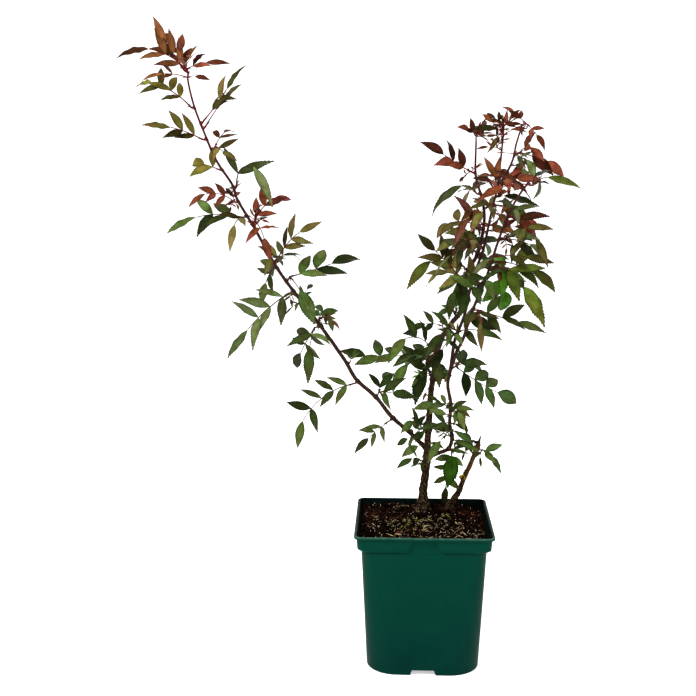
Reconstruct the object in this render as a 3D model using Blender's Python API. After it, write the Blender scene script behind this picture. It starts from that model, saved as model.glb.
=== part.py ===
"""A young red-leaved rose in a square nursery pot, modelled in metres with +Z up.

The origin is the middle of the pot's flat underside. +X is the right of the picture and +Y points
away from the viewer. The pot, the compost, each woody limb and each spray of leaves is an object of
its own. A limb is a tapering tube through a few stations. A spray is one short stem, from which
compound leaves grow by a seeded rule.
"""

import math
import random

import bmesh
import bpy
from mathutils import Matrix, Quaternion, Vector
from mathutils.bvhtree import BVHTree

MM = 0.001
GAP = 0.3 * MM
WELD = 0.001 * MM
UP = Vector((0, 0, 1))
TO_VIEWER = Vector((0, -1, 0))

# Pot, a square one with round corners that grow rounder towards its foot
RIM_HALF = 82.5 * MM
POT_HEIGHT = 175 * MM
LIP_HEIGHT = 3.5 * MM
LIP_WIDTH = 3 * MM
BAND_HALF = 79.5 * MM
BAND_HEIGHT = 18 * MM
STEP_HEIGHT = 3 * MM
BODY_HALF_TOP = 74 * MM
BODY_HALF_FOOT = 68 * MM
FOOT_EDGE = 1.5 * MM
RIM_CORNER = 8 * MM
BODY_CORNER_TOP = 14 * MM
BODY_CORNER_FOOT = 37 * MM
POT_WALL = 1.8 * MM
POT_FLOOR = 9 * MM
CORNER_STEPS = 4

# Drain notch in the middle of each side of the foot
NOTCH_WIDTH_LOW = 36 * MM
NOTCH_WIDTH_HIGH = 26 * MM
NOTCH_HEIGHT = 6.5 * MM
NOTCH_DEPTH = 22 * MM

# Compost
SOIL_TOP = 168 * MM
SOIL_EDGE_TOP = 164 * MM
SOIL_SLOPE = 14 * MM
SOIL_CLEARANCE = 0.45 * MM

# Limbs: stations in millimetres from the root to the tip, the two end diameters, and the nodes that
# the limb is parted into, each with the length along the limb where it ends and its number of sides
LIMBS = {
    "main_stem": {
        "stations": [
            (0, 40, 168.3), (0, 40, 178), (1, 40, 200), (4, 40, 223), (5, 40, 247), (7, 40, 283),
            (9, 40, 321), (13, 42, 350), (17, 45, 375), (24, 48, 394), (35, 52, 410), (45, 56, 424),
            (48, 58, 452), (54, 57, 475), (64, 56, 492), (70, 58, 514), (73, 62, 541), (69, 66, 565),
            (62, 70, 590), (62, 74, 632),
        ],
        "diameters": (9.6, 1.6),
        "parts": {"trunk": (116, 10), "left_stem": (None, 6)},
    },
    "long_cane": {
        "stations": [
            (4, 40, 252), (-18, 36, 274), (-40, 30, 295), (-59, 25, 320), (-83, 20, 343),
            (-98, 16, 369), (-130, 8, 416), (-164, 0, 462), (-182, -3, 490), (-203, -6, 529),
            (-222, -9, 562), (-228, -10, 580), (-246, -12, 608), (-260, -14, 642), (-270, -16, 670),
            (-276, -18, 698), (-275, -18, 709),
        ],
        "diameters": (5.2, 1.6),
        "parts": {"long_cane_low": (270, 7), "long_cane_high": (None, 6)},
    },
    "middle_stem": {
        "stations": [
            (5, 39, 240), (20, 30, 249), (31, 24, 256), (35, 21, 270), (32, 20, 290), (33, 20, 313),
            (29, 20, 337), (32, 20, 355), (36, 20, 389), (41, 22, 403), (49, 26, 425), (54, 28, 450),
            (60, 28, 474), (70, 30, 502), (78, 31, 542), (86, 33, 578), (89, 34, 608), (92, 36, 643),
        ],
        "diameters": (4.6, 1.6),
        "parts": {"middle_stem_low": (208, 6), "middle_stem_high": (None, 6)},
    },
    "right_stem": {
        "stations": [
            (33, 20, 361), (36, 13, 370), (39, 9, 381), (46, 3, 397), (53, -6, 424), (62, -12, 450),
            (72, -17, 477), (83, -22, 515), (94, -28, 547), (106, -32, 570), (116, -35, 584),
        ],
        "diameters": (3.6, 1.8),
        "parts": {"right_stem": (None, 6)},
    },
    "right_shoot": {
        "stations": [
            (86, 33, 578), (95, 26, 592), (102, 20, 609), (105, 16, 626), (109, 14, 641),
            (111, 12, 650),
        ],
        "diameters": (2.4, 1.4),
        "parts": {"right_shoot": (None, 6)},
    },
    "cut_stem": {
        "stations": [
            (35, 50, 168.3), (35, 50, 174), (39, 49, 182), (45, 48, 192), (53, 46, 214),
            (61, 44, 234), (67, 42, 251), (72, 41, 268),
        ],
        "diameters": (6.4, 5.2),
        "parts": {"cut_stem": (None, 8)},
    },
}
FORKS = {"long_cane": "main_stem", "middle_stem": "main_stem", "right_stem": "middle_stem",
         "right_shoot": "middle_stem"}
FLARES = {"main_stem": 3.7 * MM, "cut_stem": 2.4 * MM}
FLARE_LENGTH = 10 * MM
FLARE_RUNS = (4 * MM, 8 * MM)
LIMB_SPACING = 15 * MM
CURVE_STEPS = 12
CUTTER_SIDES = 12

# Sprays: the limb, the length along it in millimetres, and the leaves. A leaf is its angle in the
# picture plane (0 to the right, 90 up), its turn towards the viewer, its reach in millimetres, how
# many degrees it droops, the length of a leaflet in millimetres and its colour.
SPRAYS = {
    "spray_cane_tip": ("long_cane", 547, [
        (150, 20, 51, 38, 37, "red"), (122, -25, 43, 15, 32, "red"),
        (25, 15, 24, 20, 27, "red"), (75, 60, 32, 40, 24, "red")]),
    "spray_cane_left_1": ("long_cane", 505, [(151, -30, 76, 28, 32, "olive")]),
    "spray_cane_right_1": ("long_cane", 486, [(47, 30, 60, -10, 34, "green")]),
    "spray_cane_left_2": ("long_cane", 467, [(160, 35, 48, 15, 32, "green")]),
    "spray_cane_right_2": ("long_cane", 454, [
        (60, -40, 31, 25, 26, "olive"), (355, 50, 26, 0, 29, "olive")]),
    "spray_cane_left_3": ("long_cane", 428, [(165, -45, 37, 5, 37, "olive")]),
    "spray_cane_right_3": ("long_cane", 403, [(45, 25, 40, 100, 50, "green")]),
    "spray_cane_left_4": ("long_cane", 386, [
        (165, 20, 41, 50, 24, "red"), (130, -55, 34, 20, 22, "red")]),
    "spray_cane_left_5": ("long_cane", 367, [
        (181, 5, 60, 30, 40, "green"), (215, 50, 24, 45, 31, "green")]),
    "spray_cane_right_4": ("long_cane", 356, [
        (50, -25, 41, 40, 31, "red"), (65, 45, 31, 60, 15, "red"),
        (320, 50, 34, 30, 29, "red")]),
    "spray_cane_right_5": ("long_cane", 303, [
        (50, 20, 53, 28, 30, "olive"), (30, -45, 28, 33, 29, "green"),
        (90, 75, 34, 40, 26, "green")]),
    "spray_cane_left_7": ("long_cane", 296, [
        (230, -30, 28, 20, 31, "green"), (180, -75, 40, 30, 31, "green")]),
    "spray_cane_right_6": ("long_cane", 277, [
        (20, -25, 62, -5, 42, "green"), (332, 35, 24, 20, 44, "dark")]),
    "spray_cane_left_8": ("long_cane", 262, [(219, 25, 74, 18, 40, "olive")]),
    "spray_cane_right_7": ("long_cane", 213, [
        (20, -50, 18, 60, 20, "green"), (60, -78, 46, 30, 31, "green")]),
    "spray_cane_left_9": ("long_cane", 209, [
        (235, -30, 53, 5, 35, "green"), (245, 50, 39, 33, 42, "green")]),
    "spray_cane_left_10": ("long_cane", 124, [(214, 15, 84, 50, 35, "green")]),
    "spray_cane_right_8": ("long_cane", 94, [
        (65, -35, 25, 18, 31, "green"), (25, 40, 30, 5, 35, "green")]),
    "spray_cane_left_11": ("long_cane", 59, [(215, 30, 42, 5, 25, "green")]),
    "spray_left_long": ("main_stem", 205, [
        (185, -15, 93, -20, 37, "green"), (150, 35, 56, 65, 35, "green"),
        (220, 30, 24, 12, 46, "dark")]),
    "spray_behind_low": ("main_stem", 172, [
        (140, -55, 50, 45, 33, "green"), (60, -80, 58, 40, 33, "dark")]),
    "spray_red_left": ("main_stem", 441, [(150, 15, 48, -10, 31, "red")]),
    "spray_green_arch": ("main_stem", 415, [
        (155, -20, 26, 70, 55, "dark"), (170, -75, 48, 35, 31, "olive")]),
    "spray_left_mid": ("main_stem", 371, [
        (172, -35, 51, 40, 31, "olive"), (150, 50, 40, 60, 40, "red"),
        (215, 20, 34, 25, 33, "olive")]),
    "spray_left_olive": ("main_stem", 304, [
        (135, 20, 57, 5, 31, "olive"), (220, 45, 26, 18, 35, "green"),
        (170, -35, 40, 40, 33, "green")]),
    "spray_behind_high": ("main_stem", 338, [
        (40, -70, 56, 45, 33, "green"), (140, -60, 44, 40, 31, "olive")]),
    "spray_top_left": ("main_stem", 485, [
        (125, 30, 20, 25, 18, "red"), (65, -40, 26, 5, 18, "red")]),
    "spray_trunk_left": ("main_stem", 108, [
        (145, 30, 28, 60, 24, "green"), (210, -20, 31, -15, 22, "green")]),
    "spray_trunk_low": ("main_stem", 67, [(155, 40, 26, 40, 24, "green")]),
    "spray_base_leaf": ("middle_stem", 35, [
        (300, 35, 12, 0, 40, "bright"), (268, -10, 54, 10, 26, "green")]),
    "spray_yellow_tip": ("middle_stem", 52, [(200, 30, 16, 8, 31, "bright")]),
    "spray_small_right": ("middle_stem", 85, [
        (320, 30, 18, 15, 22, "green"), (30, 75, 36, 40, 26, "green"),
        (150, 45, 36, 30, 29, "green")]),
    "spray_right_long": ("middle_stem", 137, [
        (330, -20, 73, -10, 35, "dark"), (5, -45, 34, 20, 33, "dark")]),
    "spray_front": ("middle_stem", 180, [
        (165, 60, 44, 50, 35, "green"), (215, 55, 40, 30, 31, "dark"),
        (20, 40, 30, 30, 33, "green")]),
    "spray_crown_right": ("middle_stem", 262, [
        (350, -35, 52, 25, 40, "green"), (25, -60, 50, 35, 35, "dark")]),
    "spray_crown_left": ("middle_stem", 288, [
        (190, 15, 42, 35, 33, "green"), (150, 50, 40, 45, 31, "olive")]),
    "spray_olive_middle": ("middle_stem", 340, [
        (0, 50, 25, 16, 37, "olive"), (200, 60, 30, 30, 29, "green"),
        (345, -30, 30, 10, 33, "olive")]),
    "spray_red_middle": ("middle_stem", 374, [
        (0, 45, 28, -10, 29, "red"), (195, 60, 36, -10, 26, "red")]),
    "spray_top_middle": ("middle_stem", 432, [
        (125, -20, 19, 15, 16, "red"), (65, 30, 17, 0, 18, "red")]),
    "spray_top_right": ("right_shoot", 79, [
        (325, 25, 22, 5, 20, "red"), (120, -35, 19, 5, 18, "red")]),
    "spray_right_red": ("right_shoot", 45, [
        (345, -15, 40, 13, 37, "red"), (20, 40, 25, 60, 24, "red")]),
    "spray_right_olive": ("right_stem", 243, [
        (20, 20, 24, 48, 40, "olive"), (35, -50, 28, 95, 33, "green"),
        (185, 35, 36, 25, 33, "green")]),
    "spray_red_low": ("right_stem", 199, [
        (345, -30, 26, 0, 35, "red"), (60, 70, 34, 50, 29, "olive"),
        (322, 30, 44, 20, 35, "olive")]),
    "spray_red_lower": ("right_stem", 171, [
        (20, 35, 24, 5, 31, "olive"), (350, -20, 40, 25, 35, "green")]),
    "spray_right_big": ("right_stem", 143, [
        (324, 20, 48, 20, 52, "green"), (296, -45, 60, 15, 40, "bright"),
        (348, -10, 50, 22, 42, "green")]),
    "spray_right_front": ("right_stem", 112, [
        (190, 65, 46, 35, 35, "green"), (80, 75, 48, 45, 33, "green"),
        (150, 40, 38, 40, 31, "olive")]),
    "spray_right_lower": ("right_stem", 82, [
        (345, 10, 54, 0, 37, "dark"), (300, 60, 28, 40, 33, "dark")]),
    "spray_stub_right": ("cut_stem", 90, [(340, 25, 20, 27, 26, "green")]),
    "spray_stub_left": ("cut_stem", 96, [(185, -40, 19, -25, 24, "green")]),
}

# A spray's stem, and how far it leans along its limb
STEM_LENGTH = 5 * MM
STEM_RADIUS = 1.0 * MM
STEM_TAPER = 0.8
STEM_LEAN = 0.6
END_STEM_SPREAD = 0.3

# Rachises: a twig that would touch something is turned by the first of these angles that is free
RACHIS_RADIUS = 0.75 * MM
RACHIS_TIP_RADIUS = 0.5 * MM
SHARP_DROOP = 35
TWIG_TURNS = (0, 12, -12, 24, -24, 36, -36)

# Where the pairs of leaflets stand, in leaflet lengths
PAIR_SPACING = 0.56
BARE_FOOT = 0.42
MOST_PAIRS = 4

# How a leaflet is held, in degrees: its tilt to the viewer, its angle to the rachis, its droop
LEAFLET_TILT = (20, 70)
LEAFLET_SPREAD = (33, 57)
LEAFLET_DROOP = (-28, 2)
LEAFLET_SWING = (-35, 35)
LEAFLET_NOD = (-16, 16)
LEAFLET_TRIES = 8

# A leaflet's shape, in leaflet lengths
LEAFLET_WIDTH = 0.44
BROAD_LEAFLET_WIDTH = 0.62
LEAFLET_THICKNESS = 0.03
LEAFLET_BELLY = 0.44
LEAFLET_RIDGE = 0.35
LEAFLET_FOLD = 0.08
LEAFLET_ARCH = 0.12
LEAFLET_SINK = 0.25 * MM
FIRST_LEAFLET_SIZE = 0.8
LEAFLET_GROWTH = 0.18
LEAFLET_VARIES = (0.88, 1.08)

# Base colour and roughness of each material
COLOURS = {
    "pot": ((0.003, 0.048, 0.033), 0.42),
    "soil": ((0.018, 0.012, 0.007), 0.95),
    "bark": ((0.045, 0.022, 0.012), 0.8),
    "red": ((0.16, 0.035, 0.025), 0.5),
    "olive": ((0.11, 0.085, 0.025), 0.5),
    "green": ((0.045, 0.075, 0.028), 0.5),
    "dark": ((0.02, 0.042, 0.018), 0.5),
    "bright": ((0.055, 0.12, 0.02), 0.5),
}


def clear_scene():
    for obj in list(bpy.data.objects):
        bpy.data.objects.remove(obj, do_unlink=True)


def material(name):
    """The Principled material of this colour name, made once."""
    if name in bpy.data.materials:
        return bpy.data.materials[name]
    colour, roughness = COLOURS[name]
    made = bpy.data.materials.new(name)
    made.use_nodes = True
    shader = made.node_tree.nodes["Principled BSDF"]
    shader.inputs["Base Color"].default_value = (*colour, 1)
    shader.inputs["Roughness"].default_value = roughness
    shader.inputs["Metallic"].default_value = 0
    return made


def add_object(name, mesh, collection, colour=None):
    obj = bpy.data.objects.new(name, mesh)
    collection.objects.link(obj)
    if colour:
        mesh.materials.clear()
        mesh.materials.append(material(colour))
    return obj


def face_outwards(shape):
    if shape.calc_volume(signed=True) < 0:
        bmesh.ops.reverse_faces(shape, faces=shape.faces)


def apply_modifiers(obj):
    """Gives the object its evaluated mesh for good, and drops any loose scrap of it."""
    graph = bpy.context.evaluated_depsgraph_get()
    mesh = bpy.data.meshes.new_from_object(obj.evaluated_get(graph))
    obj.modifiers.clear()
    shape = bmesh.new()
    shape.from_mesh(mesh)
    left = set(shape.verts)
    bodies = []
    while left:
        body = set()
        edge = {left.pop()}
        while edge:
            body |= edge
            edge = {e.other_vert(v) for v in edge for e in v.link_edges} - body
        left -= body
        bodies.append(body)
    whole = max(bodies, key=len)
    scraps = [v for body in bodies if body is not whole for v in body]
    bmesh.ops.delete(shape, geom=scraps, context="VERTS")
    shape.to_mesh(mesh)
    shape.free()
    mesh.name = obj.name
    obj.data = mesh
    return len(scraps)


def new_collection(name):
    collection = bpy.data.collections.new(name)
    bpy.context.scene.collection.children.link(collection)
    return collection


# The pot and the compost

def rounded_square(half, corner, height):
    """One ring of points: a square of this half width with round corners, at this height."""
    ring = []
    for quarter in range(4):
        middle = Matrix.Rotation(quarter * math.pi / 2, 3, "Z") @ Vector((half - corner, half - corner, 0))
        for step in range(CORNER_STEPS + 1):
            angle = (quarter + step / CORNER_STEPS) * math.pi / 2
            reach = Vector((math.cos(angle), math.sin(angle), 0)) * corner
            ring.append(middle + reach + UP * height)
    return ring


def loft(name, rings):
    """A closed skin through rings of equally many points, with a flat cap on the first and the last."""
    shape = bmesh.new()
    rows = [[shape.verts.new(point) for point in ring] for ring in rings]
    count = len(rows[0])
    for low, high in zip(rows, rows[1:]):
        for i in range(count):
            j = (i + 1) % count
            shape.faces.new((low[i], low[j], high[j], high[i]))
    shape.faces.new(reversed(rows[0]))
    shape.faces.new(rows[-1])
    mesh = bpy.data.meshes.new(name)
    shape.to_mesh(mesh)
    shape.free()
    return mesh


def pot_profile():
    """(outer, inner) rows of half width, corner radius and height, both from the foot upwards."""
    band_foot = POT_HEIGHT - BAND_HEIGHT
    body_top = band_foot - STEP_HEIGHT
    outer = [
        (BODY_HALF_FOOT - FOOT_EDGE, BODY_CORNER_FOOT - FOOT_EDGE, 0),
        (BODY_HALF_FOOT, BODY_CORNER_FOOT, FOOT_EDGE),
        (BODY_HALF_TOP, BODY_CORNER_TOP, body_top),
        (BAND_HALF - POT_WALL / 2, RIM_CORNER + POT_WALL, band_foot),
        (BAND_HALF, RIM_CORNER, POT_HEIGHT - LIP_HEIGHT),
        (RIM_HALF, RIM_CORNER, POT_HEIGHT - LIP_HEIGHT),
        (RIM_HALF, RIM_CORNER, POT_HEIGHT - LIP_HEIGHT / 4),
        (RIM_HALF - LIP_HEIGHT / 4, RIM_CORNER - LIP_HEIGHT / 4, POT_HEIGHT),
    ]
    inner = [
        (BODY_HALF_FOOT - POT_WALL, BODY_CORNER_FOOT - POT_WALL, POT_FLOOR),
        (BODY_HALF_TOP - POT_WALL, BODY_CORNER_TOP - POT_WALL, body_top + POT_WALL / 2),
        (BAND_HALF - 1.5 * POT_WALL, RIM_CORNER, band_foot + POT_WALL / 2),
        (BAND_HALF - POT_WALL, RIM_CORNER - POT_WALL, POT_HEIGHT - LIP_HEIGHT),
        (RIM_HALF - LIP_WIDTH, RIM_CORNER - LIP_WIDTH / 2, POT_HEIGHT),
    ]
    return outer, inner


def make_pot(collection, cutters):
    outer, inner = pot_profile()
    rings = [rounded_square(*row) for row in outer]
    rings += [rounded_square(*row) for row in reversed(inner)]
    pot = add_object("pot", loft("pot", rings), collection, "pot")
    for side in range(4):
        cutter = notch_cutter(side)
        cutters.objects.link(cutter)
        cut = pot.modifiers.new(f"drain notch {side}", "BOOLEAN")
        cut.operation = "DIFFERENCE"
        cut.object = cutter
    return pot


def notch_cutter(side):
    """A wedge that is wide at the ground, standing across the foot of one side of the pot."""
    shape = bmesh.new()
    bmesh.ops.create_cube(shape, size=2)
    for vert in shape.verts:
        high = vert.co.z > 0
        width = NOTCH_WIDTH_HIGH if high else NOTCH_WIDTH_LOW
        vert.co.x *= width / 2
        vert.co.y = BODY_HALF_FOOT + NOTCH_DEPTH * vert.co.y
        vert.co.z = NOTCH_HEIGHT if high else -NOTCH_HEIGHT
    shape.transform(Matrix.Rotation(side * math.pi / 2, 4, "Z"))
    mesh = bpy.data.meshes.new(f"notch cutter {side}")
    shape.to_mesh(mesh)
    shape.free()
    cutter = bpy.data.objects.new(f"notch_cutter_{side}", mesh)
    cutter.hide_render = True
    cutter.display_type = "WIRE"
    return cutter


def make_soil(collection):
    """The compost fills the pot a gap clear of it, with a level top that falls off at the wall."""
    _, inner = pot_profile()
    rings = []
    for half, corner, height in inner[:3]:
        rings.append(rounded_square(half - SOIL_CLEARANCE, corner, height + GAP))
    edge_half = BAND_HALF - 1.5 * POT_WALL - GAP
    rings.append(rounded_square(edge_half, RIM_CORNER, SOIL_EDGE_TOP))
    middle = (SOIL_EDGE_TOP + SOIL_TOP * 2) / 3
    rings.append(rounded_square(edge_half - SOIL_SLOPE / 2, RIM_CORNER, middle))
    rings.append(rounded_square(edge_half - SOIL_SLOPE, RIM_CORNER, SOIL_TOP))
    return add_object("soil", loft("soil", rings), collection, "soil")


# Tubes and limbs

def polygon_section(sides):
    """A flat curve of this many sides and a radius of 1 mm, which tubes take as their section."""
    curve = bpy.data.curves.new(f"section {sides}", "CURVE")
    curve.dimensions = "2D"
    spline = curve.splines.new("POLY")
    spline.points.add(sides - 1)
    for i, point in enumerate(spline.points):
        angle = 2 * math.pi * i / sides
        point.co = (math.cos(angle) * MM, math.sin(angle) * MM, 0, 1)
    spline.use_cyclic_u = True
    section = bpy.data.objects.new(f"section_{sides}", curve)
    section.hide_render = True
    bpy.context.scene.collection.objects.link(section)
    return section


def tube(name, points, radii, sections, sides):
    """A closed mesh tube along the points. A radius is in metres."""
    curve = bpy.data.curves.new(name, "CURVE")
    curve.dimensions = "3D"
    curve.bevel_mode = "OBJECT"
    if sides not in sections:
        sections[sides] = polygon_section(sides)
    curve.bevel_object = sections[sides]
    curve.use_fill_caps = True
    spline = curve.splines.new("POLY")
    spline.points.add(len(points) - 1)
    for point, place, radius in zip(spline.points, points, radii):
        point.co = (*place, 1)
        point.radius = radius / MM
    guide = bpy.data.objects.new(name, curve)
    bpy.context.scene.collection.objects.link(guide)
    graph = bpy.context.evaluated_depsgraph_get()
    mesh = bpy.data.meshes.new_from_object(guide.evaluated_get(graph))
    bpy.data.objects.remove(guide)
    bpy.data.curves.remove(curve)
    shape = bmesh.new()
    shape.from_mesh(mesh)
    bmesh.ops.remove_doubles(shape, verts=shape.verts, dist=WELD)
    bmesh.ops.recalc_face_normals(shape, faces=shape.faces)
    face_outwards(shape)
    shape.to_mesh(mesh)
    shape.free()
    mesh.name = name
    return mesh


def smooth_path(stations, spacing, first):
    """Points at about this spacing on a smooth curve through the stations, with some at the first runs."""
    ends = [2 * stations[0] - stations[1], *stations, 2 * stations[-1] - stations[-2]]
    dense = []
    for a, b, c, d in zip(ends, ends[1:], ends[2:], ends[3:]):
        for step in range(CURVE_STEPS):
            t = step / CURVE_STEPS
            bend = 2 * b + (c - a) * t + (2 * a - 5 * b + 4 * c - d) * t ** 2
            dense.append((bend + (3 * b - a - 3 * c + d) * t ** 3) / 2)
    dense.append(stations[-1])
    total = sum((q - p).length for p, q in zip(dense, dense[1:]))
    count = max(2, round(total / spacing))
    wanted = [*first, *(total * i / count for i in range(1, count))]
    points = [dense[0]]
    run = 0
    for p, q in zip(dense, dense[1:]):
        step = (q - p).length
        while wanted and run + step >= wanted[0]:
            points.append(p.lerp(q, (wanted.pop(0) - run) / step))
        run += step
    return [*points, dense[-1]]


class Limb:
    """A tapering woody limb: its path, its thickness anywhere along it, and its nodes."""

    def __init__(self, name, spec):
        self.name = name
        first = FLARE_RUNS if name in FLARES else ()
        self.path = smooth_path([Vector(s) * MM for s in spec["stations"]], LIMB_SPACING, first)
        if first:
            self.path[1] = self.path[0] + UP * first[0]
        self.runs = [0]
        for p, q in zip(self.path, self.path[1:]):
            self.runs.append(self.runs[-1] + (q - p).length)
        self.length = self.runs[-1]
        self.root_radius, self.tip_radius = (d * MM / 2 for d in spec["diameters"])
        self.flare = FLARES.get(name, 0)
        self.parts = spec["parts"]

    def at(self, run):
        """The point this far along, and the direction there."""
        run = min(max(run, 0), self.length)
        for i in range(1, len(self.path)):
            if run <= self.runs[i] or i == len(self.path) - 1:
                step = self.path[i] - self.path[i - 1]
                share = (run - self.runs[i - 1]) / step.length
                return self.path[i - 1] + step * share, step.normalized()

    def radius(self, run):
        taper = self.root_radius + (self.tip_radius - self.root_radius) * run / self.length
        return taper + self.flare * math.exp(-run / FLARE_LENGTH)

    def stretch(self, start, end):
        """Runs from start to end: both ends and the path's own points between them."""
        inside = [run for run in self.runs if start + 2 * MM < run < end - 2 * MM]
        return [start, *inside, end]

    def mesh(self, name, start, end, sides, sections, extra=0.0):
        runs = self.stretch(start, end)
        points = [self.at(run)[0] for run in runs]
        radii = [self.radius(run) + extra for run in runs]
        return tube(name, points, radii, sections, sides)


def make_limbs(collection, cutters, sections):
    """Every limb's nodes. A limb that forks off another is cut a gap clear of it."""
    limbs = {name: Limb(name, spec) for name, spec in LIMBS.items()}
    nodes = []
    for name, limb in limbs.items():
        start = 0
        for node_name, (end, sides) in limb.parts.items():
            end = end * MM if end else limb.length
            low = start + (GAP / 2 if start else 0)
            high = end - (GAP / 2 if end < limb.length else 0)
            mesh = limb.mesh(node_name, low, high, sides, sections)
            node = add_object(node_name, mesh, collection, "bark")
            if name in FORKS and start == 0:
                cut_root(node, limb, limbs[FORKS[name]], cutters, sections)
            nodes.append(node)
            start = end
    return limbs, nodes


def cut_root(node, limb, parent, cutters, sections):
    """Cuts the root of a limb with a slightly swollen copy of the stretch that it grows from."""
    near = min(parent.runs, key=lambda run: (parent.at(run)[0] - limb.path[0]).length)
    low = max(0, near - 3 * LIMB_SPACING)
    high = min(parent.length, near + 3 * LIMB_SPACING)
    swollen = parent.mesh(f"{node.name} cutter", low, high, CUTTER_SIDES, sections, extra=GAP)
    cutter = add_object(f"{node.name}_cutter", swollen, cutters)
    cutter.hide_render = True
    cutter.display_type = "WIRE"
    cut = node.modifiers.new("seat on the parent limb", "BOOLEAN")
    cut.operation = "DIFFERENCE"
    cut.object = cutter
    apply_modifiers(node)


# Sprays of leaves

def heading(angle, turn):
    """The direction at this angle in the picture plane, turned this far towards the viewer."""
    angle, turn = math.radians(angle), math.radians(turn)
    flat = math.cos(turn)
    return Vector((flat * math.cos(angle), -math.sin(turn), flat * math.sin(angle)))


def lowered(direction, degrees):
    """The direction tipped towards the ground, or raised where degrees is negative."""
    axis = direction.cross(-UP)
    if axis.length < 0.05:
        axis = Vector((0, 1, 0)) if direction.z > 0 else Vector((0, -1, 0))
    return Quaternion(axis.normalized(), math.radians(degrees)) @ direction


def extent(mesh):
    """The middle of a mesh, its reach from there, and its faces as a tree grown by the gap."""
    corners = [Vector(v.co) for v in mesh.vertices]
    faces = [tuple(p.vertices) for p in mesh.polygons]
    middle = sum(corners, Vector()) / len(corners)
    reach = max((c - middle).length for c in corners)
    return middle, reach, BVHTree.FromPolygons(corners, faces, epsilon=GAP)


class Space:
    """Keeps what has been placed, so that a new twig or leaflet stays clear of it."""

    def __init__(self):
        self.placed = []

    def add(self, mesh, owner):
        self.placed.append((*extent(mesh), owner))

    def is_free(self, mesh, owner):
        middle, reach, tree = extent(mesh)
        for other_middle, other_reach, other_tree, other_owner in self.placed:
            near = (other_middle - middle).length < other_reach + reach + 2 * GAP
            if near and other_owner != owner and tree.overlap(other_tree):
                return False
        return True


def pair_shares(leaf):
    """How far along its rachis each pair of leaflets stands, for as many pairs as the leaf has room for."""
    reach, leaflet = leaf[2], leaf[4]
    spacing = PAIR_SPACING * leaflet
    pairs = min(MOST_PAIRS, max(0, round((reach - BARE_FOOT * leaflet) / spacing)))
    spacing = min(spacing, reach / (pairs + BARE_FOOT))
    return [1 - spacing * back / reach for back in range(pairs, 0, -1)]


class Rachis:
    """The midrib of one compound leaf: an arc from its root to its end, as a few straight stretches."""

    def __init__(self, root, end, droop):
        chord = end - root
        raised = lowered(chord.normalized(), -droop / 2)
        bend = root + raised * chord.length / 2 / math.cos(math.radians(droop / 2))
        self.stretches = 3 if droop > SHARP_DROOP else 2
        self.points = []
        for i in range(self.stretches + 1):
            share = i / self.stretches
            self.points.append(root.lerp(bend, share).lerp(bend.lerp(end, share), share))

    def at(self, share):
        """The point this far along, and the direction there."""
        i = min(int(share * self.stretches), self.stretches - 1)
        step = self.points[i + 1] - self.points[i]
        return self.points[i] + step * (share * self.stretches - i), step.normalized()

    def mesh(self, name, sections):
        change = (RACHIS_TIP_RADIUS - RACHIS_RADIUS) / self.stretches
        radii = [RACHIS_RADIUS + change * i for i in range(self.stretches + 1)]
        return tube(name, self.points, radii, sections, 3)


def leaflet_mesh(name, root, direction, normal, length, width):
    """A closed blade of 8 faces: a ball of four sides drawn out to a leaf's length, width and fold."""
    shape = bmesh.new()
    bmesh.ops.create_uvsphere(shape, u_segments=4, v_segments=2, radius=1)
    for vert in shape.verts:
        if abs(vert.co.y) > 0.5:
            vert.co = Vector((1 if vert.co.y > 0 else 0, 0, 0))
        elif abs(vert.co.x) > 0.5:
            side = math.copysign(width / 2, vert.co.x)
            vert.co = Vector((LEAFLET_BELLY, side, LEAFLET_FOLD * width))
        else:
            thick = math.copysign(LEAFLET_THICKNESS / 2, vert.co.z)
            vert.co = Vector((LEAFLET_RIDGE, 0, thick))
    for vert in shape.verts:
        vert.co.z -= LEAFLET_ARCH * vert.co.x ** 2
    shape.transform(Matrix.Scale(length + LEAFLET_SINK, 4))
    across = normal.cross(direction).normalized()
    frame = Matrix((direction, across, direction.cross(across))).transposed().to_4x4()
    shape.transform(Matrix.Translation(root - direction * LEAFLET_SINK) @ frame)
    face_outwards(shape)
    mesh = bpy.data.meshes.new(name)
    shape.to_mesh(mesh)
    shape.free()
    return mesh


def leaflet_plan(rachis, leaf, rng):
    """(place, direction, normal, length) of each leaflet: pairs along the rachis, and one at its end."""
    droop, size = leaf[3:5]
    tilt = math.radians(rng.uniform(*LEAFLET_TILT))
    plane = UP * math.cos(tilt) + TO_VIEWER * math.sin(tilt)
    plan = []
    for share in pair_shares(leaf):
        place, along = rachis.at(share)
        normal = (plane - along * plane.dot(along)).normalized()
        for side in (1, -1):
            spread = math.radians(rng.uniform(*LEAFLET_SPREAD))
            across = normal.cross(along) * side
            direction = along * math.cos(spread) + across * math.sin(spread)
            direction = lowered(direction, rng.uniform(*LEAFLET_DROOP))
            length = size * (FIRST_LEAFLET_SIZE + LEAFLET_GROWTH * share) * rng.uniform(*LEAFLET_VARIES)
            plan.append((place, direction, normal, length))
    place, along = rachis.at(1)
    normal = (plane - along * plane.dot(along)).normalized()
    plan.append((place, lowered(along, droop / 2), normal, size))
    return plan


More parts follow.
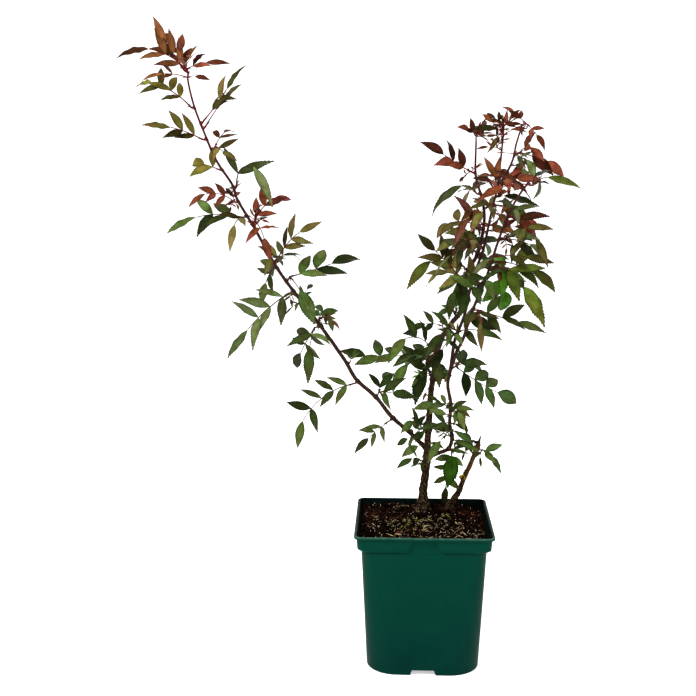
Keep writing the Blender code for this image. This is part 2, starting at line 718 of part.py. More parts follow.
def plan_twigs(name, limbs, space, sections):
    """Lays a spray's stem and rachises. It returns their meshes and the rachises with their leaves."""
    limb_name, run, leaves = SPRAYS[name]
    limb = limbs[limb_name]
    rng = random.Random(name)
    run = min(run * MM, limb.length)
    axis_point, axis = limb.at(run)
    mean = sum((heading(*leaf[:2]) for leaf in leaves), Vector()).normalized()
    if run == limb.length:
        way = (axis + mean * END_STEM_SPREAD).normalized()
        root = axis_point + axis * (GAP + STEM_RADIUS * math.sqrt(1 - way.dot(axis) ** 2))
    else:
        out = (mean - axis * mean.dot(axis)).normalized()
        way = (out + axis * STEM_LEAN).normalized()
        tipped = STEM_RADIUS * math.sqrt(1 - way.dot(out) ** 2)
        root = axis_point + out * (limb.radius(run) + GAP + tipped)
    fork = root + way * STEM_LENGTH
    radii = [STEM_RADIUS, STEM_RADIUS * STEM_TAPER]
    meshes = [tube(name, [root, fork + way * STEM_RADIUS], radii, sections, 3)]
    space.add(meshes[0], name)
    grown = []
    for leaf in leaves:
        angle, turn, reach, droop = leaf[:4]
        for more in TWIG_TURNS:
            end = axis_point + heading(angle, turn + more) * reach * MM
            rachis = Rachis(fork, end, droop)
            mesh = rachis.mesh(name, sections)
            if space.is_free(mesh, name):
                space.add(mesh, name)
                meshes.append(mesh)
                grown.append((rachis, leaf))
                break
        else:
            print("left out a leaf of", name)
    return root, meshes, grown, rng


def grow_leaflets(name, grown, rng, space):
    """The leaflets of a spray. One that touches something is turned a little, or left out."""
    meshes = []
    for rachis, leaf in grown:
        width = BROAD_LEAFLET_WIDTH if leaf[5] == "bright" else LEAFLET_WIDTH
        for place, direction, normal, length in leaflet_plan(rachis, leaf, rng):
            for attempt in range(LEAFLET_TRIES):
                mesh = leaflet_mesh(name, place, direction, normal, length * MM, width)
                if space.is_free(mesh, name):
                    space.add(mesh, name)
                    meshes.append(mesh)
                    break
                bpy.data.meshes.remove(mesh)
                swing = math.radians(rng.uniform(*LEAFLET_SWING))
                normal = Quaternion(direction, swing) @ normal
                direction = lowered(direction, rng.uniform(*LEAFLET_NOD))
            else:
                print("left out a leaflet of", name)
    return meshes


def fuse(name, meshes, colour, origin, collection):
    """One closed body of all the meshes, with its origin at the root of its stem."""
    body = add_object(name, meshes[0], collection, colour)
    joining = new_collection(f"{name} pieces")
    for i, mesh in enumerate(meshes[1:]):
        add_object(f"{name}_piece_{i}", mesh, joining)
    union = body.modifiers.new("union", "BOOLEAN")
    union.operation = "UNION"
    union.operand_type = "COLLECTION"
    union.collection = joining
    union.solver = "MANIFOLD"
    if apply_modifiers(body):
        print("dropped a scrap of", name)
    whole = body.data
    for piece in list(joining.objects):
        bpy.data.objects.remove(piece, do_unlink=True)
    bpy.data.collections.remove(joining)
    whole.transform(Matrix.Translation(-origin))
    whole.materials.clear()
    whole.materials.append(material(colour))
    body.location = origin
    return body


def make_sprays(collection, limbs, solids, sections):
    space = Space()
    for solid in solids:
        space.add(solid.data, solid.name)
    twigs = {name: plan_twigs(name, limbs, space, sections) for name in SPRAYS}
    for name, (root, meshes, grown, rng) in twigs.items():
        meshes += grow_leaflets(name, grown, rng, space)
        fuse(name, meshes, SPRAYS[name][2][0][5], root, collection)


def main():
    clear_scene()
    rose = new_collection("potted_red_leaved_rose")
    cutters = new_collection("cutters")
    sections = {}
    make_pot(rose, cutters)
    soil = make_soil(rose)
    limbs, limb_nodes = make_limbs(rose, cutters, sections)
    make_sprays(rose, limbs, [soil, *limb_nodes], sections)
    for section in sections.values():
        bpy.data.objects.remove(section)


main()
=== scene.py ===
# %% [markdown]
# # A young red-leaved rose in its nursery pot
# The plant is a few thin woody stems in a square green pot. Its leaves are compound: pairs of small
# toothed leaflets along a stalk. This lesson dresses a plain model of it, piece by piece. The plain
# model is loaded first and stays the measure of everything: each new piece goes where it says.

# %% Load the plain model
import math
import random
from typing import NamedTuple

import bmesh
import bpy
import numpy as np
from mathutils import Matrix, Quaternion, Vector, noise
from mathutils.kdtree import KDTree


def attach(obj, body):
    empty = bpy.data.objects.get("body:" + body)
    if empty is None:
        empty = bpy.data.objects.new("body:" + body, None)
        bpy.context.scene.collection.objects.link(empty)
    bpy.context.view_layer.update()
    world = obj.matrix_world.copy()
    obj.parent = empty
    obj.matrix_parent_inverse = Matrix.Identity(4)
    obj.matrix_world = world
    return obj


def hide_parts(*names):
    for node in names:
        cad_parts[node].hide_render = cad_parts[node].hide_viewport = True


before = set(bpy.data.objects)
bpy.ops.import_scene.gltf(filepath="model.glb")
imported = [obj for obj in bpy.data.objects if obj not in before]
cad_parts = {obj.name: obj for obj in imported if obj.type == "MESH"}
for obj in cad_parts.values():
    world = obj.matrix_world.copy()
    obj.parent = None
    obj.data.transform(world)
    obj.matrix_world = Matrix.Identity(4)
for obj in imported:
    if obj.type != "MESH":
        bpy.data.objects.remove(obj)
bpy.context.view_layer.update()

# %% [markdown]
# ## Sizes
# All sizes are in metres and written in millimetres times MM. The pot's sizes are those of the plain
# model. The pot stands on its foot at height zero, and +Y points away from the camera.

# %% Sizes of the pot and the compost
MM = 0.001
UP = Vector((0, 0, 1))
TO_VIEWER = Vector((0, -1, 0))
GAP = 0.3 * MM

RIM_HALF = 82.5 * MM
POT_HEIGHT = 175 * MM
LIP_HEIGHT = 3.5 * MM
LIP_WIDTH = 3 * MM
BAND_HALF = 79.5 * MM
BAND_HEIGHT = 18 * MM
STEP_HEIGHT = 3 * MM
BODY_HALF_TOP = 74 * MM
BODY_HALF_FOOT = 68 * MM
RIM_CORNER = 8 * MM
BODY_CORNER_TOP = 14 * MM
BODY_CORNER_FOOT = 37 * MM
POT_WALL = 1.8 * MM
POT_FLOOR = 9 * MM
SOIL_TOP = 168 * MM
SOIL_EDGE_TOP = 164 * MM
SOIL_SLOPE = 14 * MM
SOIL_HALF = BAND_HALF - 1.5 * POT_WALL - GAP
print("pot:", 2 * RIM_HALF, "m across its lip and", POT_HEIGHT, "m high")

# %% [markdown]
# ## Camera
# The picture was taken from a little above the pot, with a long lens. A camera can be matched by eye,
# but here the pot's known width and the way its rim narrows towards the back give its place and lens.

# %% Place the camera
CAMERA_AT = (-0.0346, -1.3437, 0.598)
CAMERA_TILT = math.radians(81)
CAMERA_TURN = math.radians(2.46)
LENS_LENGTH = 58.5
SENSOR_WIDTH = 36

camera_data = bpy.data.cameras.new("camera")
camera_data.sensor_width = SENSOR_WIDTH
camera_data.lens = LENS_LENGTH
camera = bpy.data.objects.new("camera", camera_data)
camera.location = CAMERA_AT
camera.rotation_euler = (CAMERA_TILT, 0, CAMERA_TURN)
bpy.context.scene.collection.objects.link(camera)
bpy.context.scene.camera = camera
print("camera at", CAMERA_AT)

# %% [markdown]
# ## Studio
# The plant was shot on white. A plain floor would show a horizon, so the floor is one sheet of pale
# paper that runs up into a backdrop. A plane's far edge is spun round a quarter turn and drawn upwards,
# which gives the bend its smooth curve.

# %% Floor and backdrop
FLOOR_SIZE = 8
BACKDROP_AT = 3
BACKDROP_BEND = 1.2
BACKDROP_STEPS = 16
BACKDROP_RISE = 3
PAPER_FINISH = {
    "Base Color": (0.93, 0.93, 0.93, 1), "Roughness": 0.95, "Specular IOR Level": 0,
    "Emission Color": (1, 1, 1, 1), "Emission Strength": 0.5,
}


def deselect():
    """Nothing stays selected, because an operator acts on all that is."""
    bpy.ops.object.select_all(action="DESELECT")


def pick(obj, kind, test):
    """In edit mode, selects those of the object's verts, edges or faces that pass the test."""
    shape = bmesh.from_edit_mesh(obj.data)
    for part in getattr(shape, kind):
        part.select = test(part)
    shape.select_flush_mode()
    bmesh.update_edit_mesh(obj.data)


deselect()
bpy.ops.mesh.primitive_plane_add(size=FLOOR_SIZE, location=(0, BACKDROP_AT - FLOOR_SIZE / 2, 0))
studio = bpy.context.object
studio.name = "studio_floor"
bpy.ops.object.mode_set(mode="EDIT")
bpy.ops.mesh.select_mode(type="EDGE")
bpy.ops.mesh.select_all(action="DESELECT")
pick(studio, "edges", lambda edge: all(v.co.y > 0 for v in edge.verts))
bpy.ops.mesh.spin(
    steps=BACKDROP_STEPS, angle=-math.pi / 2, center=(0, BACKDROP_AT, BACKDROP_BEND), axis=(1, 0, 0))
reach = max((studio.matrix_world @ v.co).y for v in bmesh.from_edit_mesh(studio.data).verts)
if reach < BACKDROP_AT + BACKDROP_BEND / 2:
    raise RuntimeError("the backdrop turned towards the camera")
bpy.ops.mesh.extrude_edges_move(TRANSFORM_OT_translate={"value": (0, 0, BACKDROP_RISE)})
bpy.ops.mesh.select_all(action="SELECT")
bpy.ops.mesh.remove_doubles(threshold=MM)
bpy.ops.mesh.normals_make_consistent(inside=False)
if bmesh.from_edit_mesh(studio.data).faces[0].normal.z < 0:
    bpy.ops.mesh.flip_normals()
bpy.ops.object.mode_set(mode="OBJECT")
bpy.ops.object.transform_apply(location=True)
bpy.ops.object.shade_smooth()
paper = bpy.data.materials.new("studio_paper")
paper.use_nodes = True
for socket, value in PAPER_FINISH.items():
    paper.node_tree.nodes["Principled BSDF"].inputs[socket].default_value = value
studio.data.materials.append(paper)
print("floor and backdrop:", len(studio.data.polygons), "faces")

# %% [markdown]
# The light is soft, so the lamps are large squares: a main one at the front left, a weaker one at the
# right, and one above and behind, which lights the edges of the leaves. The air itself glows a little,
# as a white room does, so that no shadow is black.

# %% Lamps
LAMPS = {
    "main_lamp": ((-1.3, -1.5, 2.1), 0.9, 84),
    "side_lamp": ((1.7, -1.2, 1.2), 1.2, 18),
    "back_lamp": ((0.5, 1.6, 2.0), 1.2, 36),
}
LAMP_AIM = Vector((0, 0, 0.35))
AIR_GLOW = 0.5


def add_lamp(name, place, size, power):
    """A square soft lamp that points at the middle of the plant."""
    data = bpy.data.lights.new(name, "AREA")
    data.size = size
    data.energy = power
    lamp = bpy.data.objects.new(name, data)
    lamp.location = place
    lamp.rotation_euler = (LAMP_AIM - Vector(place)).to_track_quat("-Z", "Y").to_euler()
    bpy.context.scene.collection.objects.link(lamp)


for name, (place, size, power) in LAMPS.items():
    add_lamp(name, place, size, power)
air = bpy.data.worlds.new("studio_air")
air.use_nodes = True
air.node_tree.nodes["Background"].inputs["Color"].default_value = (1, 1, 1, 1)
air.node_tree.nodes["Background"].inputs["Strength"].default_value = AIR_GLOW
bpy.context.scene.world = air
bpy.context.scene.view_settings.view_transform = "Standard"
print("lamps:", ", ".join(LAMPS))

# %% [markdown]
# ## Tools for finishes
# A finish is a material made of nodes. Written out one by one, its nodes and links take many lines that
# say little, so a few helpers keep each finish short. `join` links two sockets, `reckon` does a sum,
# `blend_colours` mixes two colours by a mask, and `place_group` lays a shared effect over a surface.

# %% Helpers for nodes


def paint(red, green, blue):
    """A colour as a screen shows it, 0 to 255, turned into the linear values that a shader takes."""
    shares = [value / 255 for value in (red, green, blue)]
    return tuple(s / 12.92 if s <= 0.04045 else ((s + 0.055) / 1.055) ** 2.4 for s in shares) + (1,)


def node(tree, kind, inputs=None, **settings):
    """Adds a node with these settings and these values on its own sockets."""
    made = tree.nodes.new(kind)
    for key, value in settings.items():
        setattr(made, key, value)
    for key, value in (inputs or {}).items():
        made.inputs[key].default_value = value
    return made


def join(tree, source, target):
    """Links a socket to the target, or sets the target where the source is a plain value."""
    if isinstance(source, bpy.types.NodeSocket):
        tree.links.new(source, target)
    else:
        target.default_value = source


def reckon(tree, operation, *values):
    """A sum on sockets and plain numbers."""
    made = node(tree, "ShaderNodeMath", operation=operation)
    for socket, value in zip(made.inputs, values):
        join(tree, value, socket)
    return made.outputs[0]


def remap(tree, value, low, high, to_low=0.0, to_high=1.0):
    """Stretches the values from low to high to another range, and cuts off what lies beyond."""
    made = node(tree, "ShaderNodeMapRange", {1: low, 2: high, 3: to_low, 4: to_high})
    join(tree, value, made.inputs[0])
    return made.outputs[0]


def blend_colours(tree, mask, first, second):
    """Mixes two colours, each a socket or a value, by a mask socket."""
    mix = node(tree, "ShaderNodeMix", data_type="RGBA")
    for socket, value in zip((mix.inputs[0], mix.inputs[6], mix.inputs[7]), (mask, first, second)):
        join(tree, value, socket)
    return mix.outputs[2]


def new_group(name, inputs, outputs):
    """An empty shader group, and its inner sockets for what it is given and what it puts out."""
    group = bpy.data.node_groups.new(name, "ShaderNodeTree")
    for socket, kind in inputs.items():
        group.interface.new_socket(socket, in_out="INPUT", socket_type=f"NodeSocket{kind}")
    for socket in outputs:
        group.interface.new_socket(socket, in_out="OUTPUT", socket_type="NodeSocketFloat")
    return group, node(group, "NodeGroupInput").outputs, node(group, "NodeGroupOutput").inputs


def place_group(tree, group, where, **values):
    """Lays a shared effect over a surface by these coordinates, and gives its masks."""
    made = node(tree, "ShaderNodeGroup", values, node_tree=group)
    join(tree, where, made.inputs[0])
    return made.outputs


def new_finish(name, gloss):
    """A new material, its node tree, its shader, and its coordinates to lay effects by."""
    material = bpy.data.materials.new(name)
    material.use_nodes = True
    tree = material.node_tree
    shader = tree.nodes["Principled BSDF"]
    shader.inputs["Specular IOR Level"].default_value = gloss
    return material, tree, shader, node(tree, "ShaderNodeTexCoord").outputs


def add_relief(tree, shader, height, strength, distance, **settings):
    """Lets a mask raise and lower the surface a little."""
    bump = node(tree, "ShaderNodeBump", {"Strength": strength, "Distance": distance}, **settings)
    join(tree, height, bump.inputs["Height"])
    join(tree, bump.outputs[0], shader.inputs["Normal"])


# %% [markdown]
# ## Effects that several finishes share
# Nothing that grew or was moulded has one even colour. `mottle` gives soft clouds of unevenness and a
# finer grain, and `flecks` gives small sharp spots such as grit or pores. They are node groups, built
# once here and placed in each material with its own values.

# %% Shared effects
CLOUD_CONTRAST = (0.35, 0.65)
GRAIN_CONTRAST = (0.3, 0.7)
GRAIN_FINENESS = 7.0

mottle, given, out = new_group("mottle", {"Vector": "Vector", "Scale": "Float"}, ("Cloud", "Grain"))
cloud = node(mottle, "ShaderNodeTexNoise", {"Detail": 4, "Roughness": 0.6})
grain = node(mottle, "ShaderNodeTexNoise", {"Detail": 6, "Roughness": 0.7})
for texture, scale in ((cloud, given["Scale"]),
                       (grain, reckon(mottle, "MULTIPLY", given["Scale"], GRAIN_FINENESS))):
    join(mottle, given["Vector"], texture.inputs["Vector"])
    join(mottle, scale, texture.inputs["Scale"])
join(mottle, remap(mottle, cloud.outputs["Fac"], *CLOUD_CONTRAST), out["Cloud"])
join(mottle, remap(mottle, grain.outputs["Fac"], *GRAIN_CONTRAST), out["Grain"])

flecks, given, out = new_group(
    "flecks", {"Vector": "Vector", "Scale": "Float", "Size": "Float"}, ("Spots",))
cells = node(flecks, "ShaderNodeTexVoronoi", {"Randomness": 1.0})
join(flecks, given["Vector"], cells.inputs["Vector"])
join(flecks, given["Scale"], cells.inputs["Scale"])
join(flecks, reckon(flecks, "LESS_THAN", cells.outputs["Distance"], given["Size"]), out["Spots"])
print("shared effects:", mottle.name, flecks.name)

# %% [markdown]
# `leaf_marks` draws the midrib, the veins and the margin of a leaflet. A painted picture could do it,
# but sums on the leaflet's own map stay sharp at any size. The map runs along the leaflet from 0 to 1
# and across it from 0 to 1, and the underside's map lies 2 further across. So the group first folds the
# underside's map back onto the upper side's.

# %% The marks of a leaflet
UNDERSIDE_MAP = 2
VEIN_PAIRS = 8
VEIN_SLANT = 0.5
TIP_RANGE = (0.3, 1)
MIDRIB_EDGE = (0.015, 0.05)
VEIN_EDGE = (0.0, 0.22)
MARGIN_EDGE = (0.36, 0.46)

leaf_marks, given, out = new_group(
    "leaf_marks", {"Map": "Vector"}, ("Midrib", "Veins", "Margin", "Tip", "Underside"))
split = node(leaf_marks, "ShaderNodeSeparateXYZ")
join(leaf_marks, given["Map"], split.inputs[0])
along, across = split.outputs["X"], split.outputs["Y"]
below = reckon(leaf_marks, "GREATER_THAN", across, UNDERSIDE_MAP - 0.5)
folded = reckon(leaf_marks, "MULTIPLY_ADD", below, -UNDERSIDE_MAP, across)
away = reckon(leaf_marks, "ABSOLUTE", reckon(leaf_marks, "SUBTRACT", folded, 0.5))
slanted = reckon(leaf_marks, "ADD", along, reckon(leaf_marks, "MULTIPLY", away, -VEIN_SLANT))
saw = reckon(leaf_marks, "PINGPONG", reckon(leaf_marks, "MULTIPLY", slanted, VEIN_PAIRS), 1.0)
join(leaf_marks, below, out["Underside"])
join(leaf_marks, remap(leaf_marks, along, *TIP_RANGE), out["Tip"])
join(leaf_marks, remap(leaf_marks, away, *MIDRIB_EDGE, 1, 0), out["Midrib"])
join(leaf_marks, remap(leaf_marks, saw, *VEIN_EDGE, 1, 0), out["Veins"])
join(leaf_marks, remap(leaf_marks, away, *MARGIN_EDGE), out["Margin"])
print("leaf marks:", len(leaf_marks.nodes), "nodes")

# %% [markdown]
# ## Tools for shapes
# Blender's operators act on what is selected, so each step first deselects everything and then picks
# its own object, faces or edges in code. These helpers do that, and they turn many copies of one small
# mesh into a single piece, which is how hundreds of leaflets and bits of compost stay light.

# %% Helpers for modelling
WELD = 0.002 * MM


def only(obj):
    """Makes this the one selected and active object."""
    deselect()
    obj.select_set(True)
    bpy.context.view_layer.objects.active = obj
    return obj


def apply_place(obj):
    """Puts the object's place, turn and size into its mesh."""
    only(obj)
    bpy.ops.object.transform_apply(location=True, rotation=True, scale=True)


def apply_modifier(obj, kind, **settings):
    """Adds a modifier with these settings and makes its result the mesh."""
    only(obj)
    modifier = obj.modifiers.new(kind.lower(), kind)
    for key, value in settings.items():
        setattr(modifier, key, value)
    bpy.ops.object.modifier_apply(modifier=modifier.name)


def carve(obj, tool, operation="DIFFERENCE"):
    """Cuts the tool out of the object, or joins it on, and removes the tool."""
    apply_modifier(obj, "BOOLEAN", object=tool, operation=operation, solver="EXACT")
    bpy.data.objects.remove(tool, do_unlink=True)


def close_and_face_out(obj, reach=WELD):
    """Merges points that lie closer than the reach and makes all faces point outwards."""
    only(obj)
    bpy.ops.object.mode_set(mode="EDIT")
    bpy.ops.mesh.select_all(action="SELECT")
    bpy.ops.mesh.remove_doubles(threshold=reach)
    bpy.ops.mesh.normals_make_consistent(inside=False)
    bpy.ops.object.mode_set(mode="OBJECT")


def finish_piece(obj, material, slot, *nodes, smooth=35):
    """Gives a piece its finish, lets it ride on the plant, and hides the plain nodes it stands for."""
    only(obj)
    obj.data.materials.clear()
    obj.data.materials.append(material)
    bpy.ops.object.shade_smooth_by_angle(angle=math.radians(smooth))
    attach(obj, "root")
    if nodes:
        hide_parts(*nodes)
    print(obj.name, "has", len(obj.data.polygons), "faces")


def tubes(name, runs, sides):
    """One mesh of closed tubes. A run is a list of points with a radius each. Sides are even."""
    curve = bpy.data.curves.new(name, "CURVE")
    curve.dimensions = "3D"
    curve.bevel_depth = MM
    curve.bevel_resolution = sides // 2 - 2
    curve.use_fill_caps = True
    for points, radii in runs:
        spline = curve.splines.new("POLY")
        spline.points.add(len(points) - 1)
        for point, place, radius in zip(spline.points, points, radii):
            point.co = (*place, 1)
            point.radius = radius / MM
    obj = bpy.data.objects.new(name, curve)
    bpy.context.scene.collection.objects.link(obj)
    only(obj)
    bpy.ops.object.convert(target="MESH")
    obj = bpy.context.object
    close_and_face_out(obj)
    return obj


def template(obj):
    """The points, faces and map of a small mesh, to copy it by, and the mesh itself is removed."""
    mesh = obj.data
    points = np.array([v.co[:] for v in mesh.vertices])
    faces = [list(p.vertices) for p in mesh.polygons]
    layer = mesh.uv_layers.active
    uvs = np.array([d.uv[:] for d in layer.data]) if layer else None
    bpy.data.objects.remove(obj, do_unlink=True)
    return points, faces, uvs


def joined_copies(name, pattern, copies, tones=None):
    """One mesh of many copies of the pattern. Each copy is its own array of points, and may have a tone."""
    points, faces, uvs = pattern
    count = len(copies)
    mesh = bpy.data.meshes.new(name)
    corners = np.concatenate([np.array(face) for face in faces])
    sizes = np.array([len(face) for face in faces])
    shift = np.arange(count)[:, None] * len(points)
    mesh.vertices.add(count * len(points))
    mesh.vertices.foreach_set("co", np.concatenate(copies).astype(np.float32).ravel())
    mesh.loops.add(count * len(corners))
    mesh.loops.foreach_set("vertex_index", (corners[None, :] + shift).astype(np.int32).ravel())
    mesh.polygons.add(count * len(faces))
    starts = np.concatenate([[0], np.cumsum(np.tile(sizes, count))[:-1]])
    mesh.polygons.foreach_set("loop_start", starts.astype(np.int32))
    if uvs is not None:
        layer = mesh.uv_layers.new(name="UVMap")
        layer.data.foreach_set("uv", np.tile(uvs, (count, 1)).astype(np.float32).ravel())
    if tones:
        layer = mesh.attributes.new("tone", "FLOAT", "POINT")
        layer.data.foreach_set("value", np.repeat(np.float32(tones), len(points)))
    mesh.update(calc_edges=True)
    obj = bpy.data.objects.new(name, mesh)
    bpy.context.scene.collection.objects.link(obj)
    return obj


# %% [markdown]
# ## Pot
# A square nursery pot is thin moulded plastic. Its corners are tight at the rim and round at the foot,
# so no single primitive gives it. It is a stack of rounded squares: each is a plane whose corners are
# bevelled and whose face is dropped, and each is then bridged to the next, up the outside, over the
# lip and down the inside.

# %% The rows of the pot
BAND_FOOT = POT_HEIGHT - BAND_HEIGHT
BODY_TOP = BAND_FOOT - STEP_HEIGHT
LIP_FOOT = POT_HEIGHT - LIP_HEIGHT
FOOT_ROUND = 1.5 * MM
LIP_ROUND = 1.3 * MM
STEP_ROUND = 0.7 * MM
POT_CORNER_STEPS = 9


def arc(half, corner, height, radius, start, end, steps):
    """Rows round an edge: from the start to the end angle, in degrees, about this centre row."""
    rows = []
    for i in range(steps + 1):
        angle = math.radians(start + (end - start) * i / steps)
        out = math.cos(angle) * radius
        rows.append((half + out, corner + out, height + math.sin(angle) * radius))
    return rows


body_rows = []
for share in (0, 0.25, 0.5, 0.75):
    body_rows.append((
        BODY_HALF_FOOT + (BODY_HALF_TOP - BODY_HALF_FOOT) * share,
        BODY_CORNER_FOOT + (BODY_CORNER_TOP - BODY_CORNER_FOOT) * share,
        FOOT_ROUND + (BODY_TOP - FOOT_ROUND) * share,
    ))
POT_ROWS = [
    *arc(BODY_HALF_FOOT - FOOT_ROUND, BODY_CORNER_FOOT - FOOT_ROUND, FOOT_ROUND, FOOT_ROUND, -90, -18, 4),
    *body_rows,
    (BODY_HALF_TOP, BODY_CORNER_TOP, BODY_TOP - STEP_ROUND),
    (BODY_HALF_TOP + STEP_ROUND / 2, BODY_CORNER_TOP, BODY_TOP),
    (BAND_HALF - 1.6 * STEP_ROUND - POT_WALL / 2, RIM_CORNER + POT_WALL, BAND_FOOT - STEP_ROUND / 3),
    (BAND_HALF - POT_WALL / 2, RIM_CORNER + POT_WALL, BAND_FOOT + STEP_ROUND),
    (BAND_HALF, RIM_CORNER, LIP_FOOT - STEP_ROUND),
    (BAND_HALF + STEP_ROUND, RIM_CORNER, LIP_FOOT),
    *arc(RIM_HALF - LIP_ROUND, RIM_CORNER, LIP_FOOT + LIP_ROUND, LIP_ROUND, -80, 0, 3),
    *arc(RIM_HALF - LIP_ROUND, RIM_CORNER, POT_HEIGHT - LIP_ROUND, LIP_ROUND, 0, 90, 4),
    *arc(RIM_HALF - LIP_WIDTH + LIP_ROUND / 2, RIM_CORNER - LIP_WIDTH / 2, POT_HEIGHT - LIP_ROUND,
         LIP_ROUND, 90, 180, 4),
    (BAND_HALF - POT_WALL, RIM_CORNER - POT_WALL, LIP_FOOT - LIP_ROUND),
    (BAND_HALF - 1.5 * POT_WALL, RIM_CORNER, BAND_FOOT + POT_WALL / 2),
    (BODY_HALF_TOP - POT_WALL, BODY_CORNER_TOP - POT_WALL, BODY_TOP + POT_WALL / 2),
    (BODY_HALF_FOOT - POT_WALL, BODY_CORNER_FOOT - POT_WALL, POT_FLOOR),
]
print("pot:", len(POT_ROWS), "rows from", POT_ROWS[0][2], "to", POT_HEIGHT)

# %% Stack and bridge the rows
deselect()
bpy.ops.mesh.primitive_plane_add(size=2 * RIM_HALF)
pot = bpy.context.object
pot.name = "pot_shell"
bpy.ops.object.mode_set(mode="EDIT")
bpy.ops.mesh.delete(type="VERT")
bmesh.from_edit_mesh(pot.data).verts.layers.int.new("row")
for number, (half, corner, height) in enumerate(POT_ROWS, 1):
    bpy.ops.mesh.primitive_plane_add(size=2 * half, location=(0, 0, height))
    bpy.ops.mesh.bevel(
        offset=corner, offset_type="OFFSET", segments=POT_CORNER_STEPS, profile=0.5, affect="VERTICES")
    bpy.ops.mesh.delete(type="ONLY_FACE")
    shape = bmesh.from_edit_mesh(pot.data)
    row_of = shape.verts.layers.int["row"]
    for vert in shape.verts:
        if vert[row_of] == 0:
            vert[row_of] = number
    bmesh.update_edit_mesh(pot.data)
    bpy.ops.mesh.select_all(action="DESELECT")


def select_rows(obj, *numbers):
    """Selects the edges that lie along these rows."""
    bpy.ops.mesh.select_mode(type="EDGE")
    bpy.ops.mesh.select_all(action="DESELECT")
    shape = bmesh.from_edit_mesh(obj.data)
    row_of = shape.verts.layers.int["row"]
    for edge in shape.edges:
        first, second = (vert[row_of] for vert in edge.verts)
        edge.select = first == second and first in numbers
    bmesh.update_edit_mesh(obj.data)


for number in range(1, len(POT_ROWS)):
    select_rows(pot, number, number + 1)
    bpy.ops.mesh.bridge_edge_loops()
for number in (1, len(POT_ROWS)):
    select_rows(pot, number)
    bpy.ops.mesh.edge_face_add()
bpy.ops.object.mode_set(mode="OBJECT")
close_and_face_out(pot)
print("shell:", len(pot.data.polygons), "faces")

# %% [markdown]
# The front of the band is flattened by a slanting panel, where the wall of the body runs on up to the
# lip. The foot has a notch in the middle of each side and a drain hole behind each notch. These are
# cut with simple solids, a cube whose top is drawn in and a cylinder, because a Boolean keeps the
# wall closed.

# %% Cut the panel, the notches and the drain holes
PANEL_TOP = 169.3 * MM
PANEL_FOOT = BODY_TOP - 0.6 * MM
PANEL_HALF_TOP = 14 * MM
PANEL_HALF_FOOT = 21.5 * MM
PANEL_DEPTH_TOP = 4.3 * MM
PANEL_BACKING = 2 * MM
NOTCH_WIDTH_LOW = 36 * MM
NOTCH_WIDTH_HIGH = 26 * MM
NOTCH_HEIGHT = 6.5 * MM
NOTCH_DEPTH = 22 * MM
DRAIN_RADIUS = 4.5 * MM
DRAIN_INSET = 15 * MM


def add_wedge(width_low, width_high, depth, low, high):
    """A block across the origin from low to high whose upper end is wider or narrower than its foot."""
    middle = (low + high) / 2
    deselect()
    bpy.ops.mesh.primitive_cube_add(size=1, location=(0, 0, middle))
    block = bpy.context.object
    block.scale = (width_low, depth, high - low)
    apply_place(block)
    bpy.ops.object.mode_set(mode="EDIT")
    pick(block, "verts", lambda vert: vert.co.z > middle)
    bpy.ops.transform.resize(value=(width_high / width_low, 1, 1), center_override=(0, 0, high))
    bpy.ops.object.mode_set(mode="OBJECT")
    return block


def slant(block, outer_foot, outer_top, inner_foot, inner_top):
    """Leans a block's outer and inner face, each given by how far in front of the middle it stands."""
    middle = sum(vert.co.z for vert in block.data.vertices) / len(block.data.vertices)
    for vert in block.data.vertices:
        foot, top = (inner_foot, inner_top) if vert.co.y > 0 else (outer_foot, outer_top)
        vert.co.y = -(top if vert.co.z > middle else foot)


def carve_side(tool, side):
    """Cuts a tool that stands at the back out of one of the pot's four sides."""
    apply_place(tool)
    tool.rotation_euler.z = side * math.pi / 2
    apply_place(tool)
    carve(pot, tool)


PANEL_OUT_FOOT = BODY_HALF_TOP + 0.02 * MM
PANEL_OUT_TOP = BAND_HALF - PANEL_DEPTH_TOP
backing = add_wedge(2 * PANEL_HALF_FOOT + 2 * PANEL_BACKING, 2 * PANEL_HALF_TOP + 3 * PANEL_BACKING,
                    POT_WALL, BODY_TOP - 5 * MM, PANEL_TOP + PANEL_BACKING / 2)
slant(backing, PANEL_OUT_FOOT - POT_WALL / 2, BAND_HALF - POT_WALL / 2,
      PANEL_OUT_FOOT - 1.5 * PANEL_BACKING, PANEL_OUT_TOP - PANEL_BACKING)
carve(pot, backing, "UNION")
panel = add_wedge(2 * PANEL_HALF_FOOT, 2 * PANEL_HALF_TOP, POT_WALL, PANEL_FOOT, PANEL_TOP)
slant(panel, 2 * BAND_HALF, 2 * BAND_HALF, PANEL_OUT_FOOT, PANEL_OUT_TOP)
carve(pot, panel)
for side in range(4):
    notch = add_wedge(NOTCH_WIDTH_LOW, NOTCH_WIDTH_HIGH, 2 * NOTCH_DEPTH, -NOTCH_HEIGHT, NOTCH_HEIGHT)
    notch.location.y = BODY_HALF_FOOT
    carve_side(notch, side)
    deselect()
    bpy.ops.mesh.primitive_cylinder_add(
        vertices=24, radius=DRAIN_RADIUS, depth=4 * POT_FLOOR, location=(0, BODY_HALF_FOOT - DRAIN_INSET, 0))
    carve_side(bpy.context.object, side)
print("pot with its cuts:", len(pot.data.polygons), "faces")

# %% [markdown]
# Moulded plastic has no sharp edge. A Bevel modifier rounds them all, but it stops at the narrowest face
# it meets, so the slivers that the cuts left are merged first.

# %% Round the edges
SLIVER = 0.1 * MM
EDGE_ROUND = 0.5 * MM
EDGE_ANGLE = math.radians(40)

close_and_face_out(pot, SLIVER)
apply_modifier(pot, "BEVEL", width=EDGE_ROUND, segments=2, limit_method="ANGLE", angle_limit=EDGE_ANGLE)
close_and_face_out(pot)
print("rounded pot:", len(pot.data.polygons), "faces")

